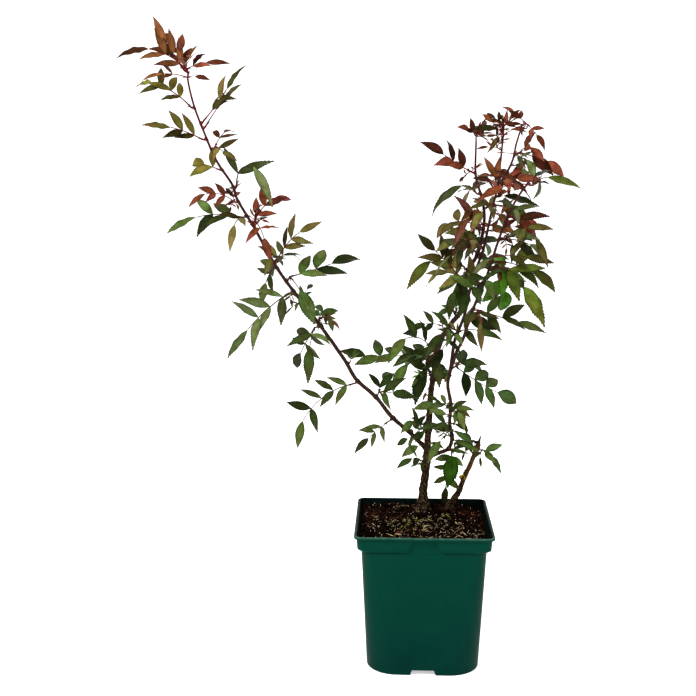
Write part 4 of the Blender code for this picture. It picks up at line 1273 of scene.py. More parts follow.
# %% Relief along a stem
CRACK_ROUND = 2.4
CRACK_ALONG = 105
CRACK_DEPTH = 0.16
CRACK_LEVEL = 0.6
FINE_CRACKS = 2.7
FINE_CRACK_SHARE = 0.5
LEAST_RELIEF = 0.03
BUTTRESSES = 5
BUTTRESS_WANDER = 2
BUTTRESS_LEVEL = 0.2
BUTTRESS_DEPTH = 0.3
BUTTRESS_HEIGHT = 16 * MM


def roughen(obj, name):
    """Moves a limb's points in and out, and keeps its youth and its bark map as attributes."""
    limb = limbs[name]
    path = np.array([p[:] for p in limb.fine])
    steps = np.linalg.norm(np.diff(path, axis=0), axis=1)
    runs = np.concatenate([[0], np.cumsum(steps)])
    youths = []
    maps = []
    for vert in obj.data.vertices:
        nearest = int(np.argmin(np.linalg.norm(path - np.array(vert.co), axis=1)))
        offset = vert.co - limb.fine[nearest]
        along = runs[nearest]
        out = offset.normalized()
        spot = out * CRACK_ROUND + Vector((0, 0, along * CRACK_ALONG))
        youth = limb.youth[0] + (limb.youth[1] - limb.youth[0]) * along / runs[-1]
        crack = abs(noise.noise(spot)) * 2 + noise.noise(spot * FINE_CRACKS) * FINE_CRACK_SHARE
        depth = CRACK_DEPTH * (1 - youth) ** 2 + LEAST_RELIEF
        push = 1 + depth * (crack - CRACK_LEVEL)
        if name in FLARES:
            angle = math.atan2(out.y, out.x)
            wander = BUTTRESS_WANDER * noise.noise(Vector((angle, 0, 0)))
            ridge = math.cos(BUTTRESSES * angle + wander) - BUTTRESS_LEVEL
            push += BUTTRESS_DEPTH * ridge * math.exp(-along / BUTTRESS_HEIGHT)
        vert.co = limb.fine[nearest] + offset * push
        youths.append(youth)
        maps.extend(spot)
    obj.data.attributes.new("youth", "FLOAT", "POINT").data.foreach_set("value", youths)
    obj.data.attributes.new("bark_map", "FLOAT_VECTOR", "POINT").data.foreach_set("vector", maps)


# %% Make the stems
STEM_SIDES = 16

stems = {}
for name, limb in limbs.items():
    reach = sum((q - p).length for p, q in zip(limb.fine, limb.fine[1:]))
    run = 0
    radii = []
    for p, q in zip(limb.fine, [*limb.fine[1:], limb.fine[-1]]):
        radii.append(swollen_radius(name, run * limb.length / reach))
        run += (q - p).length
    stems[name] = tubes(name + "_bark", [(limb.fine, radii)], STEM_SIDES)
    roughen(stems[name], name)
print("stem tubes:", ", ".join(stems))

# %% [markdown]
# Young rose wood is smooth and purple-red, with a bright red tip. Older wood turns dark brown with pale
# flecks of cork in lines along the stem. One finish covers both: a ramp reads the youth attribute, and
# the pattern reads the bark map. The old cut stem is yellower and more mottled, so it has its own ramp.

# %% Bark finishes
BARK_GLOSS = 0.08
BARK_RELIEF = (0.5, 0.3 * MM)
STREAK_SCALE = 1.3
STREAK_SHADE = (0.45, 1)
CORK_SCALE = 2.6
CORK_SIZE = 0.3
CORK_END = 0.7
CORK_ON_YOUNG = 1 / 8
YOUNG_ROUGHNESS = 0.42
BLACK = (0, 0, 0, 1)


def bark(name, ramp_stops, fleck, fleck_share, roughness):
    """Wood whose colour follows a ramp from old to young, with streaks and flecks along the stem."""
    material, tree, shader, _ = new_finish(name, BARK_GLOSS)
    youth = node(tree, "ShaderNodeAttribute", attribute_name="youth").outputs["Fac"]
    where = node(tree, "ShaderNodeAttribute", attribute_name="bark_map").outputs["Vector"]
    ramp = node(tree, "ShaderNodeValToRGB")
    stops = ramp.color_ramp.elements
    stops[0].position, stops[0].color = ramp_stops[0]
    stops[1].position, stops[1].color = ramp_stops[-1]
    for place, colour in ramp_stops[1:-1]:
        stops.new(place).color = colour
    join(tree, youth, ramp.inputs[0])
    streaks = place_group(tree, mottle, where, Scale=STREAK_SCALE)
    shade = remap(tree, streaks["Cloud"], 0, 1, *STREAK_SHADE)
    streaked = blend_colours(tree, shade, BLACK, ramp.outputs[0])
    cork = place_group(tree, flecks, where, Scale=CORK_SCALE, Size=CORK_SIZE)
    amount = reckon(tree, "MULTIPLY", cork["Spots"],
                    remap(tree, youth, 0, CORK_END, fleck_share, fleck_share * CORK_ON_YOUNG))
    join(tree, blend_colours(tree, amount, streaked, fleck), shader.inputs["Base Color"])
    join(tree, remap(tree, youth, 0, 1, roughness, YOUNG_ROUGHNESS), shader.inputs["Roughness"])
    add_relief(tree, shader, streaks["Grain"], *BARK_RELIEF)
    return material


rose_bark = bark("rose_bark", [
    (0, paint(16, 10, 5)), (0.06, paint(30, 18, 10)), (0.18, paint(32, 18, 11)), (0.4, paint(40, 18, 13)),
    (0.62, paint(46, 22, 19)), (0.82, paint(54, 16, 18)), (1, paint(84, 12, 20))],
    paint(136, 108, 70), 0.75, 0.85)
cut_bark = bark("cut_bark", [
    (0.02, paint(20, 11, 6)), (0.045, paint(36, 20, 11)), (0.068, paint(88, 54, 22)),
    (0.085, paint(84, 54, 24)), (0.094, paint(30, 22, 15))], paint(150, 120, 70), 0.5, 0.8)
for name, spec in LIMBS.items():
    material = cut_bark if name == "cut_stem" else rose_bark
    finish_piece(stems[name], material, "bark", *spec["nodes"], smooth=50)

# %% [markdown]
# ## A leaflet
# A rose leaflet is an oval blade with a point, fine teeth and a crease along its midrib. It is modelled
# once, flat, as a grid: its outline is drawn in, its border is divided for the teeth, and the sheet is
# doubled into a thin closed blade. Every leaflet on the plant is a copy of it, folded, arched and twisted
# by its own amounts, so that a few dozen faces serve them all.

# %% Draw the outline
LEAFLET_STATIONS = (0, 0.05, 0.15, 0.28, 0.42, 0.56, 0.7, 0.84, 1)
LEAFLET_COLUMNS = 4
LEAFLET_WELD = 0.001
OUTLINE_LEAN = 0.82
OUTLINE_FULLNESS = 1.02


def half_outline(share):
    """Half the width of a leaflet, as a share of its full width, this far along it."""
    return 0.5 * max(math.sin(math.pi * share ** OUTLINE_LEAN), 0) ** OUTLINE_FULLNESS


deselect()
bpy.ops.mesh.primitive_grid_add(
    x_subdivisions=len(LEAFLET_STATIONS) - 1, y_subdivisions=LEAFLET_COLUMNS, size=1)
leaflet = bpy.context.object
for vert in leaflet.data.vertices:
    share = LEAFLET_STATIONS[round((vert.co.x + 0.5) * (len(LEAFLET_STATIONS) - 1))]
    vert.co = Vector((share, vert.co.y * 2 * half_outline(share), 0))
bpy.ops.object.mode_set(mode="EDIT")
bpy.ops.mesh.select_all(action="SELECT")
bpy.ops.mesh.remove_doubles(threshold=LEAFLET_WELD)
print("outline:", len(leaflet.data.polygons), "faces")

# %% Cut the teeth
TEETH_PER_STRETCH = 2
TOOTH_OUT = 0.05
TOOTH_FORWARD = 0.022
FOOT_END = 0.01

bpy.ops.mesh.select_mode(type="EDGE")
bpy.ops.mesh.select_all(action="DESELECT")
pick(leaflet, "edges", lambda edge: edge.is_boundary and min(v.co.x for v in edge.verts) > FOOT_END)
bpy.ops.mesh.subdivide(number_cuts=2 * TEETH_PER_STRETCH - 1)
shape = bmesh.from_edit_mesh(leaflet.data)
teeth = 0
for low, high in zip(LEAFLET_STATIONS[1:], LEAFLET_STATIONS[2:]):
    for vert in shape.verts:
        place = (vert.co.x - low) / (high - low) * 2 * TEETH_PER_STRETCH
        if vert.is_boundary and 0.5 < place < 2 * TEETH_PER_STRETCH - 0.5 and round(place) % 2:
            vert.tag = True
for vert in shape.verts:
    if vert.tag:
        vert.co.y += math.copysign(TOOTH_OUT, vert.co.y)
        vert.co.x += TOOTH_FORWARD
        teeth += 1
bmesh.update_edit_mesh(leaflet.data)
print("teeth:", teeth)

# %% Give it an underside and a map
BLADE_THICKNESS = 0.009
LEAST_WIDTH = 0.01

bpy.ops.mesh.select_mode(type="VERT")
bpy.ops.mesh.select_all(action="SELECT")
bpy.ops.mesh.duplicate()
bpy.ops.mesh.flip_normals()
shape = bmesh.from_edit_mesh(leaflet.data)
for vert in shape.verts:
    if vert.select and not vert.is_boundary:
        vert.co.z -= BLADE_THICKNESS
bmesh.update_edit_mesh(leaflet.data)
bpy.ops.mesh.select_all(action="SELECT")
bpy.ops.mesh.remove_doubles(threshold=LEAFLET_WELD)
bpy.ops.object.mode_set(mode="OBJECT")
flat_map = leaflet.data.uv_layers.active or leaflet.data.uv_layers.new(name="UVMap")
for face in leaflet.data.polygons:
    under = UNDERSIDE_MAP if face.normal.z < 0 else 0
    for corner in face.loop_indices:
        place = leaflet.data.vertices[leaflet.data.loops[corner].vertex_index].co
        across = place.y / max(2 * half_outline(min(place.x, 1)), LEAST_WIDTH)
        flat_map.data[corner].uv = (place.x, 0.5 + min(max(across, -0.5), 0.5) + under)
leaflet_pattern = template(leaflet)
print("leaflet:", len(leaflet_pattern[1]), "faces")

# %% [markdown]
# ## How leaves grow
# The leaves could be strewn about at random, but then they would hang in the air and miss the plain
# model's places. So they grow, by the plain model's own rule. A compound leaf's stalk is an arc, its
# leaflets stand on it in pairs with one at its end, and a seeded draw holds each a little differently.

# %% Directions
STEM_LENGTH = 5 * MM
SHORT_STEM = 1 * MM
SHORT_REACH = 14
STEM_RADIUS = 1.0 * MM
STEM_LEAN = 0.6
END_STEM_SPREAD = 0.3
NEARLY_UPRIGHT = 0.05


def heading(angle, turn):
    """The direction at this angle in the picture plane, turned this far towards the viewer."""
    angle, turn = math.radians(angle), math.radians(turn)
    flat = math.cos(turn)
    return Vector((flat * math.cos(angle), -math.sin(turn), flat * math.sin(angle)))


def lowered(direction, degrees):
    """The direction tipped towards the ground, or raised where degrees is negative."""
    axis = direction.cross(-UP)
    if axis.length < NEARLY_UPRIGHT:
        axis = Vector((0, 1, 0)) if direction.z > 0 else Vector((0, -1, 0))
    return Quaternion(axis.normalized(), math.radians(degrees)) @ direction


def upright(direction, normal):
    """The part of the normal that stands square on the direction."""
    return direction.cross(normal.cross(direction).normalized())


print("a leaf to the right and 30 degrees forwards heads for", tuple(heading(0, 30)))

# %% [markdown]
# A leaf's stalk springs up from its fork and then bends down under its own weight, so it is an arc with
# one control point. The plain model draws it as two or three straight stretches and sets its leaflets
# on those, and so the stretches are kept as well, to find the same places.

# %% The stalk of a leaf
SHARP_DROOP = 35


class Rachis:
    """The stalk of one compound leaf: an arc from its root to its end."""

    def __init__(self, root, end, droop):
        chord = end - root
        raised = lowered(chord.normalized(), -droop / 2)
        self.root, self.end = root, end
        self.bend = root + raised * chord.length / 2 / math.cos(math.radians(droop / 2))
        self.stretches = 3 if droop > SHARP_DROOP else 2
        self.points = [self.arc(i / self.stretches) for i in range(self.stretches + 1)]

    def arc(self, share):
        """The point this far along the smooth arc."""
        return self.root.lerp(self.bend, share).lerp(self.bend.lerp(self.end, share), share)

    def at(self, share):
        """The point this far along the stalk's straight stretches, and the direction there."""
        i = min(int(share * self.stretches), self.stretches - 1)
        step = self.points[i + 1] - self.points[i]
        return self.points[i] + step * (share * self.stretches - i), step.normalized()


# %% The leaflets of a leaf
PAIR_SPACING = 0.56
BARE_FOOT = 0.42
LEAFLET_TILT = (20, 70)
LEAFLET_SPREAD = (33, 57)
LEAFLET_DROOP = (-28, 2)
FIRST_LEAFLET_SIZE = 0.8
LEAFLET_GROWTH = 0.18
LEAFLET_VARIES = (0.88, 1.08)


def pair_shares(leaf):
    """How far along its stalk each pair of leaflets stands."""
    spacing = PAIR_SPACING * leaf.size
    pairs = min(leaf.most_pairs, max(0, round((leaf.reach - BARE_FOOT * leaf.size) / spacing)))
    spacing = min(spacing, leaf.reach / (pairs + BARE_FOOT))
    return [1 - spacing * back / leaf.reach for back in range(pairs, 0, -1)]


def leaflet_plan(rachis, leaf, rng):
    """(share, direction, normal, length) of each leaflet: pairs along the stalk, and one at its end."""
    tilt = math.radians(rng.uniform(*LEAFLET_TILT))
    plane = UP * math.cos(tilt) + TO_VIEWER * math.sin(tilt)
    plan = []
    for share in pair_shares(leaf):
        along = rachis.at(share)[1]
        normal = (plane - along * plane.dot(along)).normalized()
        for side in (1, -1):
            spread = math.radians(rng.uniform(*LEAFLET_SPREAD))
            across = normal.cross(along) * side
            direction = along * math.cos(spread) + across * math.sin(spread)
            direction = lowered(direction, rng.uniform(*LEAFLET_DROOP))
            growth = FIRST_LEAFLET_SIZE + LEAFLET_GROWTH * share
            length = leaf.size * growth * rng.uniform(*LEAFLET_VARIES)
            plan.append((share, direction, normal, length * MM))
    along = rachis.at(1)[1]
    normal = (plane - along * plane.dot(along)).normalized()
    plan.append((1, lowered(along, leaf.droop / 2), normal, leaf.size * MM))
    return plan


print("pairs of leaflets on the longest leaf:",
      max(len(pair_shares(Leaf(*leaf))) for spray in SPRAYS.values() for leaf in spray[2]))

# %% [markdown]
# In the plain model a leaflet that would touch something was turned until it was free, or left out. To
# repeat that search would mean testing solids against each other. It is enough to draw the same turns
# and to keep the one whose tip is found among the points of the spray's plain node.

# %% Match the plain leaflets
LEAFLET_SWING = (-35, 35)
LEAFLET_NOD = (-16, 16)
LEAFLET_TRIES = 8
LEAFLET_ARCH = 0.12
LEAFLET_SINK = 0.25 * MM
TIP_MATCH = 0.05 * MM


def plain_points(name):
    """The points of a plain node, to look places up in."""
    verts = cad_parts[name].data.vertices
    tree = KDTree(len(verts))
    for i, vert in enumerate(verts):
        tree.insert(vert.co, i)
    tree.balance()
    return tree


def settle_leaflet(points, place, direction, normal, length, rng):
    """Turns a leaflet as the plain model did, until its tip is one of the plain points."""
    whole = length + LEAFLET_SINK
    for _ in range(LEAFLET_TRIES):
        top = upright(direction, normal)
        tip = place - direction * LEAFLET_SINK + (direction - top * LEAFLET_ARCH) * whole
        if points is None or points.find(tip)[2] < TIP_MATCH:
            return direction, top
        normal = Quaternion(direction, math.radians(rng.uniform(*LEAFLET_SWING))) @ normal
        direction = lowered(direction, rng.uniform(*LEAFLET_NOD))
    return None


# %% Grow the sprays
TWIG_TURNS = (0, 12, -12, 24, -24, 36, -36)
TWIG_MATCH = 1.2 * MM


class Spray:
    """Compound leaves that fork from one short stem on a limb. Run is in millimetres along the limb.

    A spray of the plain model is given the points of its node. One that starts close has a short stem."""

    def __init__(self, name, limb_name, run, leaves, points=None):
        self.name = name
        self.limb = limbs[limb_name]
        self.run = min(run * MM, self.limb.length)
        self.at_tip = self.run == self.limb.length
        leaves = [Leaf(*leaf) for leaf in leaves]
        self.close = points is None and min(leaf.reach for leaf in leaves) < SHORT_REACH
        self.set_stem(leaves)
        self.stalks, self.blades = [], []
        for leaf in leaves:
            self.add_stalk(leaf, points)
        rng = random.Random(name)
        for rachis, leaf in self.stalks:
            self.add_leaflets(rachis, leaf, rng, points)

    def set_stem(self, leaves):
        """Finds the limb's own point, where the stem leaves the limb, and where the leaves fork."""
        self.heart, axis = self.limb.at(self.run)
        mean = sum((heading(leaf.angle, leaf.turn) for leaf in leaves), Vector()).normalized()
        if self.at_tip:
            way = (axis + mean * END_STEM_SPREAD).normalized()
            self.root = self.heart + axis * (GAP + STEM_RADIUS * math.sqrt(1 - way.dot(axis) ** 2))
        else:
            out = (mean - axis * mean.dot(axis)).normalized()
            way = (out + axis * STEM_LEAN).normalized()
            tipped = STEM_RADIUS * math.sqrt(1 - way.dot(out) ** 2)
            self.root = self.heart + out * (self.limb.radius(self.run) + GAP + tipped)
        self.fork = self.root + way * (SHORT_STEM if self.close else STEM_LENGTH)

    def add_stalk(self, leaf, points=None):
        """Grows a leaf's stalk from the fork, along the plain twig where there is one."""
        for more in TWIG_TURNS:
            end = self.heart + heading(leaf.angle, leaf.turn + more) * leaf.reach * MM
            if points is None or points.find(end)[2] < TWIG_MATCH:
                self.stalks.append((Rachis(self.fork, end, leaf.droop), leaf))
                return
        print("a leaf of", self.name, "has no plain twig")

    def add_leaflets(self, rachis, leaf, rng, points=None):
        """Grows the leaflets along one stalk."""
        for share, direction, normal, length in leaflet_plan(rachis, leaf, rng):
            held = settle_leaflet(points, rachis.at(share)[0], direction, normal, length, rng)
            if held:
                self.blades.append((rachis.arc(share), *held, length, leaf))


sprays = [Spray(name, *spray, plain_points(name)) for name, spray in SPRAYS.items()]
print("leaflets of the plain sprays:", sum(len(spray.blades) for spray in sprays))

# %% [markdown]
# ## Finer shoots
# The plain model can hold only so many leaves, and the real plant has more. Finer shoots fill in between,
# inside the reach of the others. Those that the eye notices come first, listed in the same way as the
# sprays: each has its limb, its place along it and its leaves.

# %% Shoots placed by hand
FINER_SHOOTS = [
    ("main_stem", 48, [(238, 20, 7, 5, 17, "dark", 0)]),
    ("main_stem", 76, [(222, 30, 7, 10, 20, "green", 0)]),
    ("main_stem", 92, [(2, 55, 6, 10, 20, "long", 0), (196, 30, 14, 10, 25, "green", 0)]),
    ("main_stem", 104, [(172, 25, 9, 10, 22, "dark", 0), (120, -60, 24, 20, 20, "green")]),
    ("main_stem", 113, [(2, 45, 7, 0, 28, "dark", 0), (226, 30, 8, 10, 22, "green", 0)]),
    ("main_stem", 126, [(184, 30, 7, 0, 19, "green", 0)]),
    ("middle_stem", 32, [(350, 30, 6, 14, 22, "green", 0, 0.26)]),
    ("middle_stem", 46, [(4, 25, 6, 16, 33, "green", 0, 0.3)]),
    ("middle_stem", 58, [(1, 30, 6, 12, 26, "dark", 0, 0.3)]),
    ("middle_stem", 68, [(356, 30, 6, 12, 22, "green", 0, 0.3), (172, 40, 22, 20, 24, "dark")]),
    ("middle_stem", 77, [(4, 20, 6, 0, 17, "dark", 0, 0.55), (150, 40, 7, 0, 22, "green", 0)]),
    ("middle_stem", 92, [(352, 20, 6, 10, 25, "long", 0, 0.34), (200, -30, 18, 20, 20, "green")]),
    ("main_stem", 165, [(228, 30, 12, 10, 14, "copper", 0), (40, -50, 26, 30, 22, "green")]),
    ("main_stem", 180, [(175, 50, 32, 10, 11, "bright", 1)]),
    ("main_stem", 188, [(190, 25, 12, 44, 46, "green", 0, 0.4)]),
    ("main_stem", 192, [(178, 20, 36, 50, 38, "green", 1, 0.38)]),
    ("main_stem", 200, [(170, 30, 20, 12, 33, "dark", 0), (176, 55, 5, 5, 36, "green", 0)]),
    ("main_stem", 235, [(160, 10, 28, 30, 23, "green")]),
    ("main_stem", 262, [(108, 10, 8, 0, 34, "green", 0), (158, 40, 18, 20, 19, "dark")]),
    ("middle_stem", 203, [(352, 35, 8, 10, 38, "green", 0)]),
    ("right_stem", 92, [(28, 10, 12, 20, 18, "green", 0)]),
    ("right_stem", 126, [(222, 50, 12, 20, 20, "grey", 0, 0.34)]),
    ("right_stem", 150, [(2, 20, 38, 15, 33, "bronze", 1), (205, 50, 8, 20, 30, "grey", 0)]),
    ("right_stem", 172, [(340, 10, 16, 60, 24, "grey", 0), (10, 40, 22, 20, 26, "grey", 0)]),
    ("right_stem", 190, [(24, 10, 14, 34, 38, "copper", 0)]),
    ("main_stem", 316, [(164, 15, 50, 58, 43, "long", 0, 0.32)]),
    ("main_stem", 352, [(168, 20, 34, 30, 27, "bronze"), (192, -30, 36, 20, 25, "plum")]),
    ("main_stem", 372, [(142, 20, 20, 60, 20, "copper", 1), (20, 40, 14, 20, 20, "bronze", 1)]),
    ("main_stem", 388, [(158, 40, 24, 50, 22, "copper"), (60, -50, 22, 20, 20, "red")]),
    ("middle_stem", 308, [(14, 20, 34, 10, 26, "copper"), (190, 30, 14, 20, 20, "bronze", 1)]),
    ("middle_stem", 330, [(356, 20, 26, 10, 30, "copper", 1), (120, -50, 24, 30, 22, "bronze")]),
    ("middle_stem", 342, [(172, 20, 8, 10, 22, "olive", 0), (300, 40, 16, 10, 17, "grey", 0)]),
    ("middle_stem", 351, [
        (80, 30, 14, 10, 15, "red"), (105, -20, 12, 5, 13, "red"), (50, 60, 16, 20, 16, "red"),
        (12, 15, 10, 30, 46, "long", 0, 0.34)]),
    ("middle_stem", 358, [
        (98, 10, 12, 10, 30, "copper", 0), (70, -30, 20, 20, 28, "red", 0), (84, 50, 9, 30, 26, "copper", 0),
        (118, 30, 14, 40, 26, "bronze", 0)]),
    ("middle_stem", 366, [(104, 20, 10, 20, 28, "copper", 0), (40, 30, 16, 30, 28, "red", 0)]),
    ("right_shoot", 10, [
        (8, 30, 24, 15, 27, "red", 1), (340, -10, 22, 20, 27, "copper", 1), (160, -40, 18, 20, 20, "plum")]),
    ("right_shoot", 30, [(345, 20, 14, 30, 20, "grey", 1), (10, -30, 20, 20, 19, "dark", 1)]),
    ("right_shoot", 44, [(325, 30, 20, 40, 18, "grey", 1), (172, 20, 10, 10, 13, "plum", 0)]),
    ("middle_stem", 408, [(112, 20, 18, 5, 14, "red", 0), (130, -40, 18, 20, 14, "plum", 0)]),
    ("middle_stem", 431, [
        (166, 20, 8, -4, 29, "bronze", 0), (12, 20, 8, 0, 20, "grey", 0), (226, 30, 12, 10, 18, "olive", 0)]),
    ("middle_stem", 422, [(125, 0, 22, 0, 17, "red", 0), (40, 20, 16, 30, 17, "red", 0)]),
    ("long_cane", 538, [(168, 40, 34, 20, 24, "copper", 1), (20, 50, 16, 20, 20, "red", 0)]),
    ("long_cane", 546, [(126, 10, 42, -8, 32, "copper", 1), (105, 30, 26, 20, 17, "plum", 0)]),
    ("long_cane", 480, [(50, 20, 44, 10, 28, "bronze", 1)]),
    ("long_cane", 350, [(80, 20, 9, 5, 11, "red"), (110, 50, 8, 5, 10, "red")]),
    ("long_cane", 245, [(70, -30, 18, 20, 20, "green"), (200, 40, 14, 20, 16, "green")]),
    ("long_cane", 150, [(60, 30, 14, 20, 15, "green")]),
    ("cut_stem", 56, [(205, 15, 5, 0, 10, "yellow", 0, 0.85)]),
]
for i, shoot in enumerate(FINER_SHOOTS):
    sprays.append(Spray(f"finer_shoot_{i}", *shoot))
print("with finer shoots:", sum(len(spray.blades) for spray in sprays))

# %% [markdown]
# A bud in nearly every axil has just opened into a tuft of tiny leaves. They are too many to place by
# hand and nobody would miss one, so a seeded draw places them. New leaves are red on young wood and
# green on old wood.

# %% Tufts of new leaves
TUFT_CHANCE = {"long_cane": 0.2}
MOST_TUFTS = 0.75
TUFT_LEAVES = (1, 2)
TIP_TUFT_LEAVES = 4
STRAIGHT_UP = 90
TUFT_SWING = 75
TUFT_TURN = 70
TUFT_REACH = (8, 20)
TUFT_SIZE = (10, 16)
TUFT_DROOP = (-10, 40)
TUFT_COLOURS = (
    (0.7, ("red", "plum", "copper", "red")),
    (0.35, ("copper", "bronze", "olive", "plum")),
    (0, ("green", "olive", "bronze", "green")),
)

for spray in sprays:
    rng = random.Random(spray.name + " tuft")
    youth = spray.limb.youth_at(spray.run)
    colours = next(names for least, names in TUFT_COLOURS if youth >= least)
    chance = 0 if spray.close else TUFT_CHANCE.get(spray.limb.name, MOST_TUFTS)
    count = rng.randint(*TUFT_LEAVES) if rng.random() < chance else 0
    angle = spray.stalks[0][1].angle if spray.stalks else STRAIGHT_UP
    if spray.at_tip:
        count, angle = TIP_TUFT_LEAVES, STRAIGHT_UP
    for _ in range(count):
        spray.add_stalk(Leaf(
            angle + rng.uniform(-TUFT_SWING, TUFT_SWING), rng.uniform(-TUFT_TURN, TUFT_TURN),
            rng.uniform(*TUFT_REACH), rng.uniform(*TUFT_DROOP), rng.uniform(*TUFT_SIZE),
            rng.choice(colours)))
        spray.add_leaflets(*spray.stalks[-1], rng)
print("with new leaves:", sum(len(spray.blades) for spray in sprays))

# %% [markdown]
# ## Leaf colours
# Young growth is red or copper and old growth is green, and each leaf takes one colour as a whole. One
# recipe makes all of the finishes. The upper side has clouds of a deeper tone, a flush of another hue
# towards its tip, faint veins and a dark margin, and the underside is paler. Each leaflet also has its
# own tone, light or dark, kept as an attribute of its points. Without it a bough looks printed.

# %% Leaf finishes
LEAF_COLOURS = {
    "red": (paint(110, 54, 36), paint(80, 28, 30), paint(98, 54, 44), "leaf_red"),
    "copper": (paint(110, 68, 36), paint(84, 36, 32), paint(96, 62, 44), "leaf_red"),
    "plum": (paint(88, 50, 40), paint(70, 30, 36), paint(90, 56, 50), "leaf_red"),
    "olive": (paint(88, 90, 34), paint(94, 56, 30), paint(90, 78, 58), "leaf_olive"),
    "bronze": (paint(82, 84, 40), paint(88, 60, 38), paint(88, 76, 58), "leaf_olive"),
    "green": (paint(58, 84, 36), paint(70, 66, 36), paint(72, 88, 54), "leaf_green"),
    "grey": (paint(72, 90, 50), paint(84, 74, 58), paint(84, 88, 68), "leaf_green"),
    "long": (paint(76, 98, 30), paint(88, 68, 32), paint(84, 96, 54), "leaf_green"),
    "dark": (paint(46, 72, 34), paint(52, 54, 30), paint(60, 76, 48), "leaf_dark"),
    "bright": (paint(60, 116, 20), paint(72, 114, 24), paint(74, 112, 42), "leaf_bright"),
    "yellow": (paint(196, 160, 30), paint(150, 130, 30), paint(190, 160, 60), "leaf_bright"),
}
LEAF_GLOSS = 0.02
LEAF_ROUGHNESS = (0.48, 0.72)
LEAF_CLOUDS = 80.0
FLUSH_CLOUDS = 37.0
FLUSH_RANGE = (0.3, 0.95)
DEEP_SHADE = (0.34, 0.32, 0.06)
MARGIN_SHADE = (0.15, 0.14, 0.04)
VEIN_TINT = paint(128, 112, 62)
VEIN_SHARE = 0.1
MIDRIB_SHARE = 0.12
MARGIN_SHARE = 0.8
VEIN_RELIEF = (0.4, 0.3 * MM)
TONE_RANGE = (0.26, 1.78)


def shade_of(colour, shares):
    """The same colour, darker and less blue."""
    return tuple(share * value for share, value in zip(shares, colour)) + (1,)


def leaf_finish(name, upper, flush, under):
    """A living leaf: deep and light clouds, a flush towards its tip, veins, margin and underside."""
    material, tree, shader, coordinates = new_finish("leaf_" + name, LEAF_GLOSS)
    marks = place_group(tree, leaf_marks, coordinates["UV"])
    clouds = place_group(tree, mottle, coordinates["Object"], Scale=LEAF_CLOUDS)
    blush = place_group(tree, mottle, coordinates["Object"], Scale=FLUSH_CLOUDS)
    flushed = reckon(tree, "MULTIPLY", remap(tree, marks["Tip"], 0, 1, *FLUSH_RANGE), blush["Cloud"])
    face = blend_colours(tree, clouds["Cloud"], shade_of(upper, DEEP_SHADE), upper)
    face = blend_colours(tree, flushed, face, flush)
    for mark, share, tint in (("Veins", VEIN_SHARE, VEIN_TINT), ("Midrib", MIDRIB_SHARE, VEIN_TINT),
                              ("Margin", MARGIN_SHARE, shade_of(upper, MARGIN_SHADE))):
        face = blend_colours(tree, reckon(tree, "MULTIPLY", marks[mark], share), face, tint)
    face = blend_colours(tree, marks["Underside"], face, under)
    tone = node(tree, "ShaderNodeAttribute", attribute_name="tone").outputs["Fac"]
    toned = node(tree, "ShaderNodeVectorMath", operation="SCALE")
    join(tree, face, toned.inputs["Vector"])
    join(tree, remap(tree, tone, 0, 1, *TONE_RANGE), toned.inputs["Scale"])
    join(tree, toned.outputs[0], shader.inputs["Base Color"])
    join(tree, remap(tree, clouds["Grain"], 0, 1, *LEAF_ROUGHNESS), shader.inputs["Roughness"])
    add_relief(tree, shader, marks["Veins"], *VEIN_RELIEF, invert=True)
    return material


def slot_of(colour):
    """The plain model's material slot for a leaf colour."""
    return LEAF_COLOURS[colour][3]


leaf_finishes = {name: leaf_finish(name, *colours[:3]) for name, colours in LEAF_COLOURS.items()}
print("leaf finishes:", ", ".join(leaf_finishes))

# %% [markdown]
# ## Hang the leaflets
# Each copy of the leaflet is bent before it is placed. It is folded up along the midrib, arched down
# towards its tip, twisted, rolled to a side, and rippled along its margin. A modifier could bend one
# leaflet, but hundreds of modifiers are slow, so a few sums bend the points of the pattern. Small leaves
# at the tips of the shoots are still narrow and folded nearly shut.

# %% Bend and place a leaflet
WIDTH_VARIES = (0.9, 1.12)
FOLD = (0.1, 0.55)
YOUNG_FOLD = (0.5, 1.1)
FOLD_NARROWS = 0.6
CURL = (0.04, 0.26)
CURL_LIFT = 0.3
HOOK = (0.0, 0.8)
HOOK_START = 0.5
TWIST = (-0.6, 0.6)
TWIST_START = 0.2
ROLL = 0.3
MOST_ROLL = 0.4
SICKLE = (-0.09, 0.09)
RIPPLE = (0.0, 0.04)
RIPPLE_WAVES = 19
RIPPLE_SHIFT = (0, 6)


def bent_leaflet(width, fold, rng):
    """The points of the flat leaflet, folded, rippled, twisted, rolled and arched by seeded amounts."""
    x, y, z = leaflet_pattern[0].T
    y = y * width * rng.uniform(*WIDTH_VARIES)
    rise = rng.uniform(*fold)
    z = z + np.abs(y) * rise - rise * y ** 2 / width
    ripple = rng.uniform(*RIPPLE) * np.sin(x * RIPPLE_WAVES + rng.uniform(*RIPPLE_SHIFT))
    z = z + ripple * np.abs(y) / width
    y = y * math.cos(math.atan(rise * FOLD_NARROWS)) + rng.uniform(*SICKLE) * x ** 2
    roll = min(max(rng.gauss(0, ROLL), -MOST_ROLL), MOST_ROLL)
    turn = roll + rng.uniform(*TWIST) * (x - TWIST_START)
    y, z = y * np.cos(turn) - z * np.sin(turn), y * np.sin(turn) + z * np.cos(turn)
    curl = rng.uniform(*CURL)
    hook = rng.uniform(*HOOK) * np.maximum(x - HOOK_START, 0) ** 2
    return np.stack((x, y, z - curl * x ** 2 - hook + CURL_LIFT * (curl - LEAFLET_ARCH) * x), axis=1)


def placed_leaflet(points, root, direction, top, length):
    """The bent points, turned into this direction, with this length and root."""
    turned = np.array((direction, top.cross(direction), top))
    return points * length @ turned + np.array(root)


print("points of a leaflet:", len(bent_leaflet(1, FOLD, random.Random("a try"))))

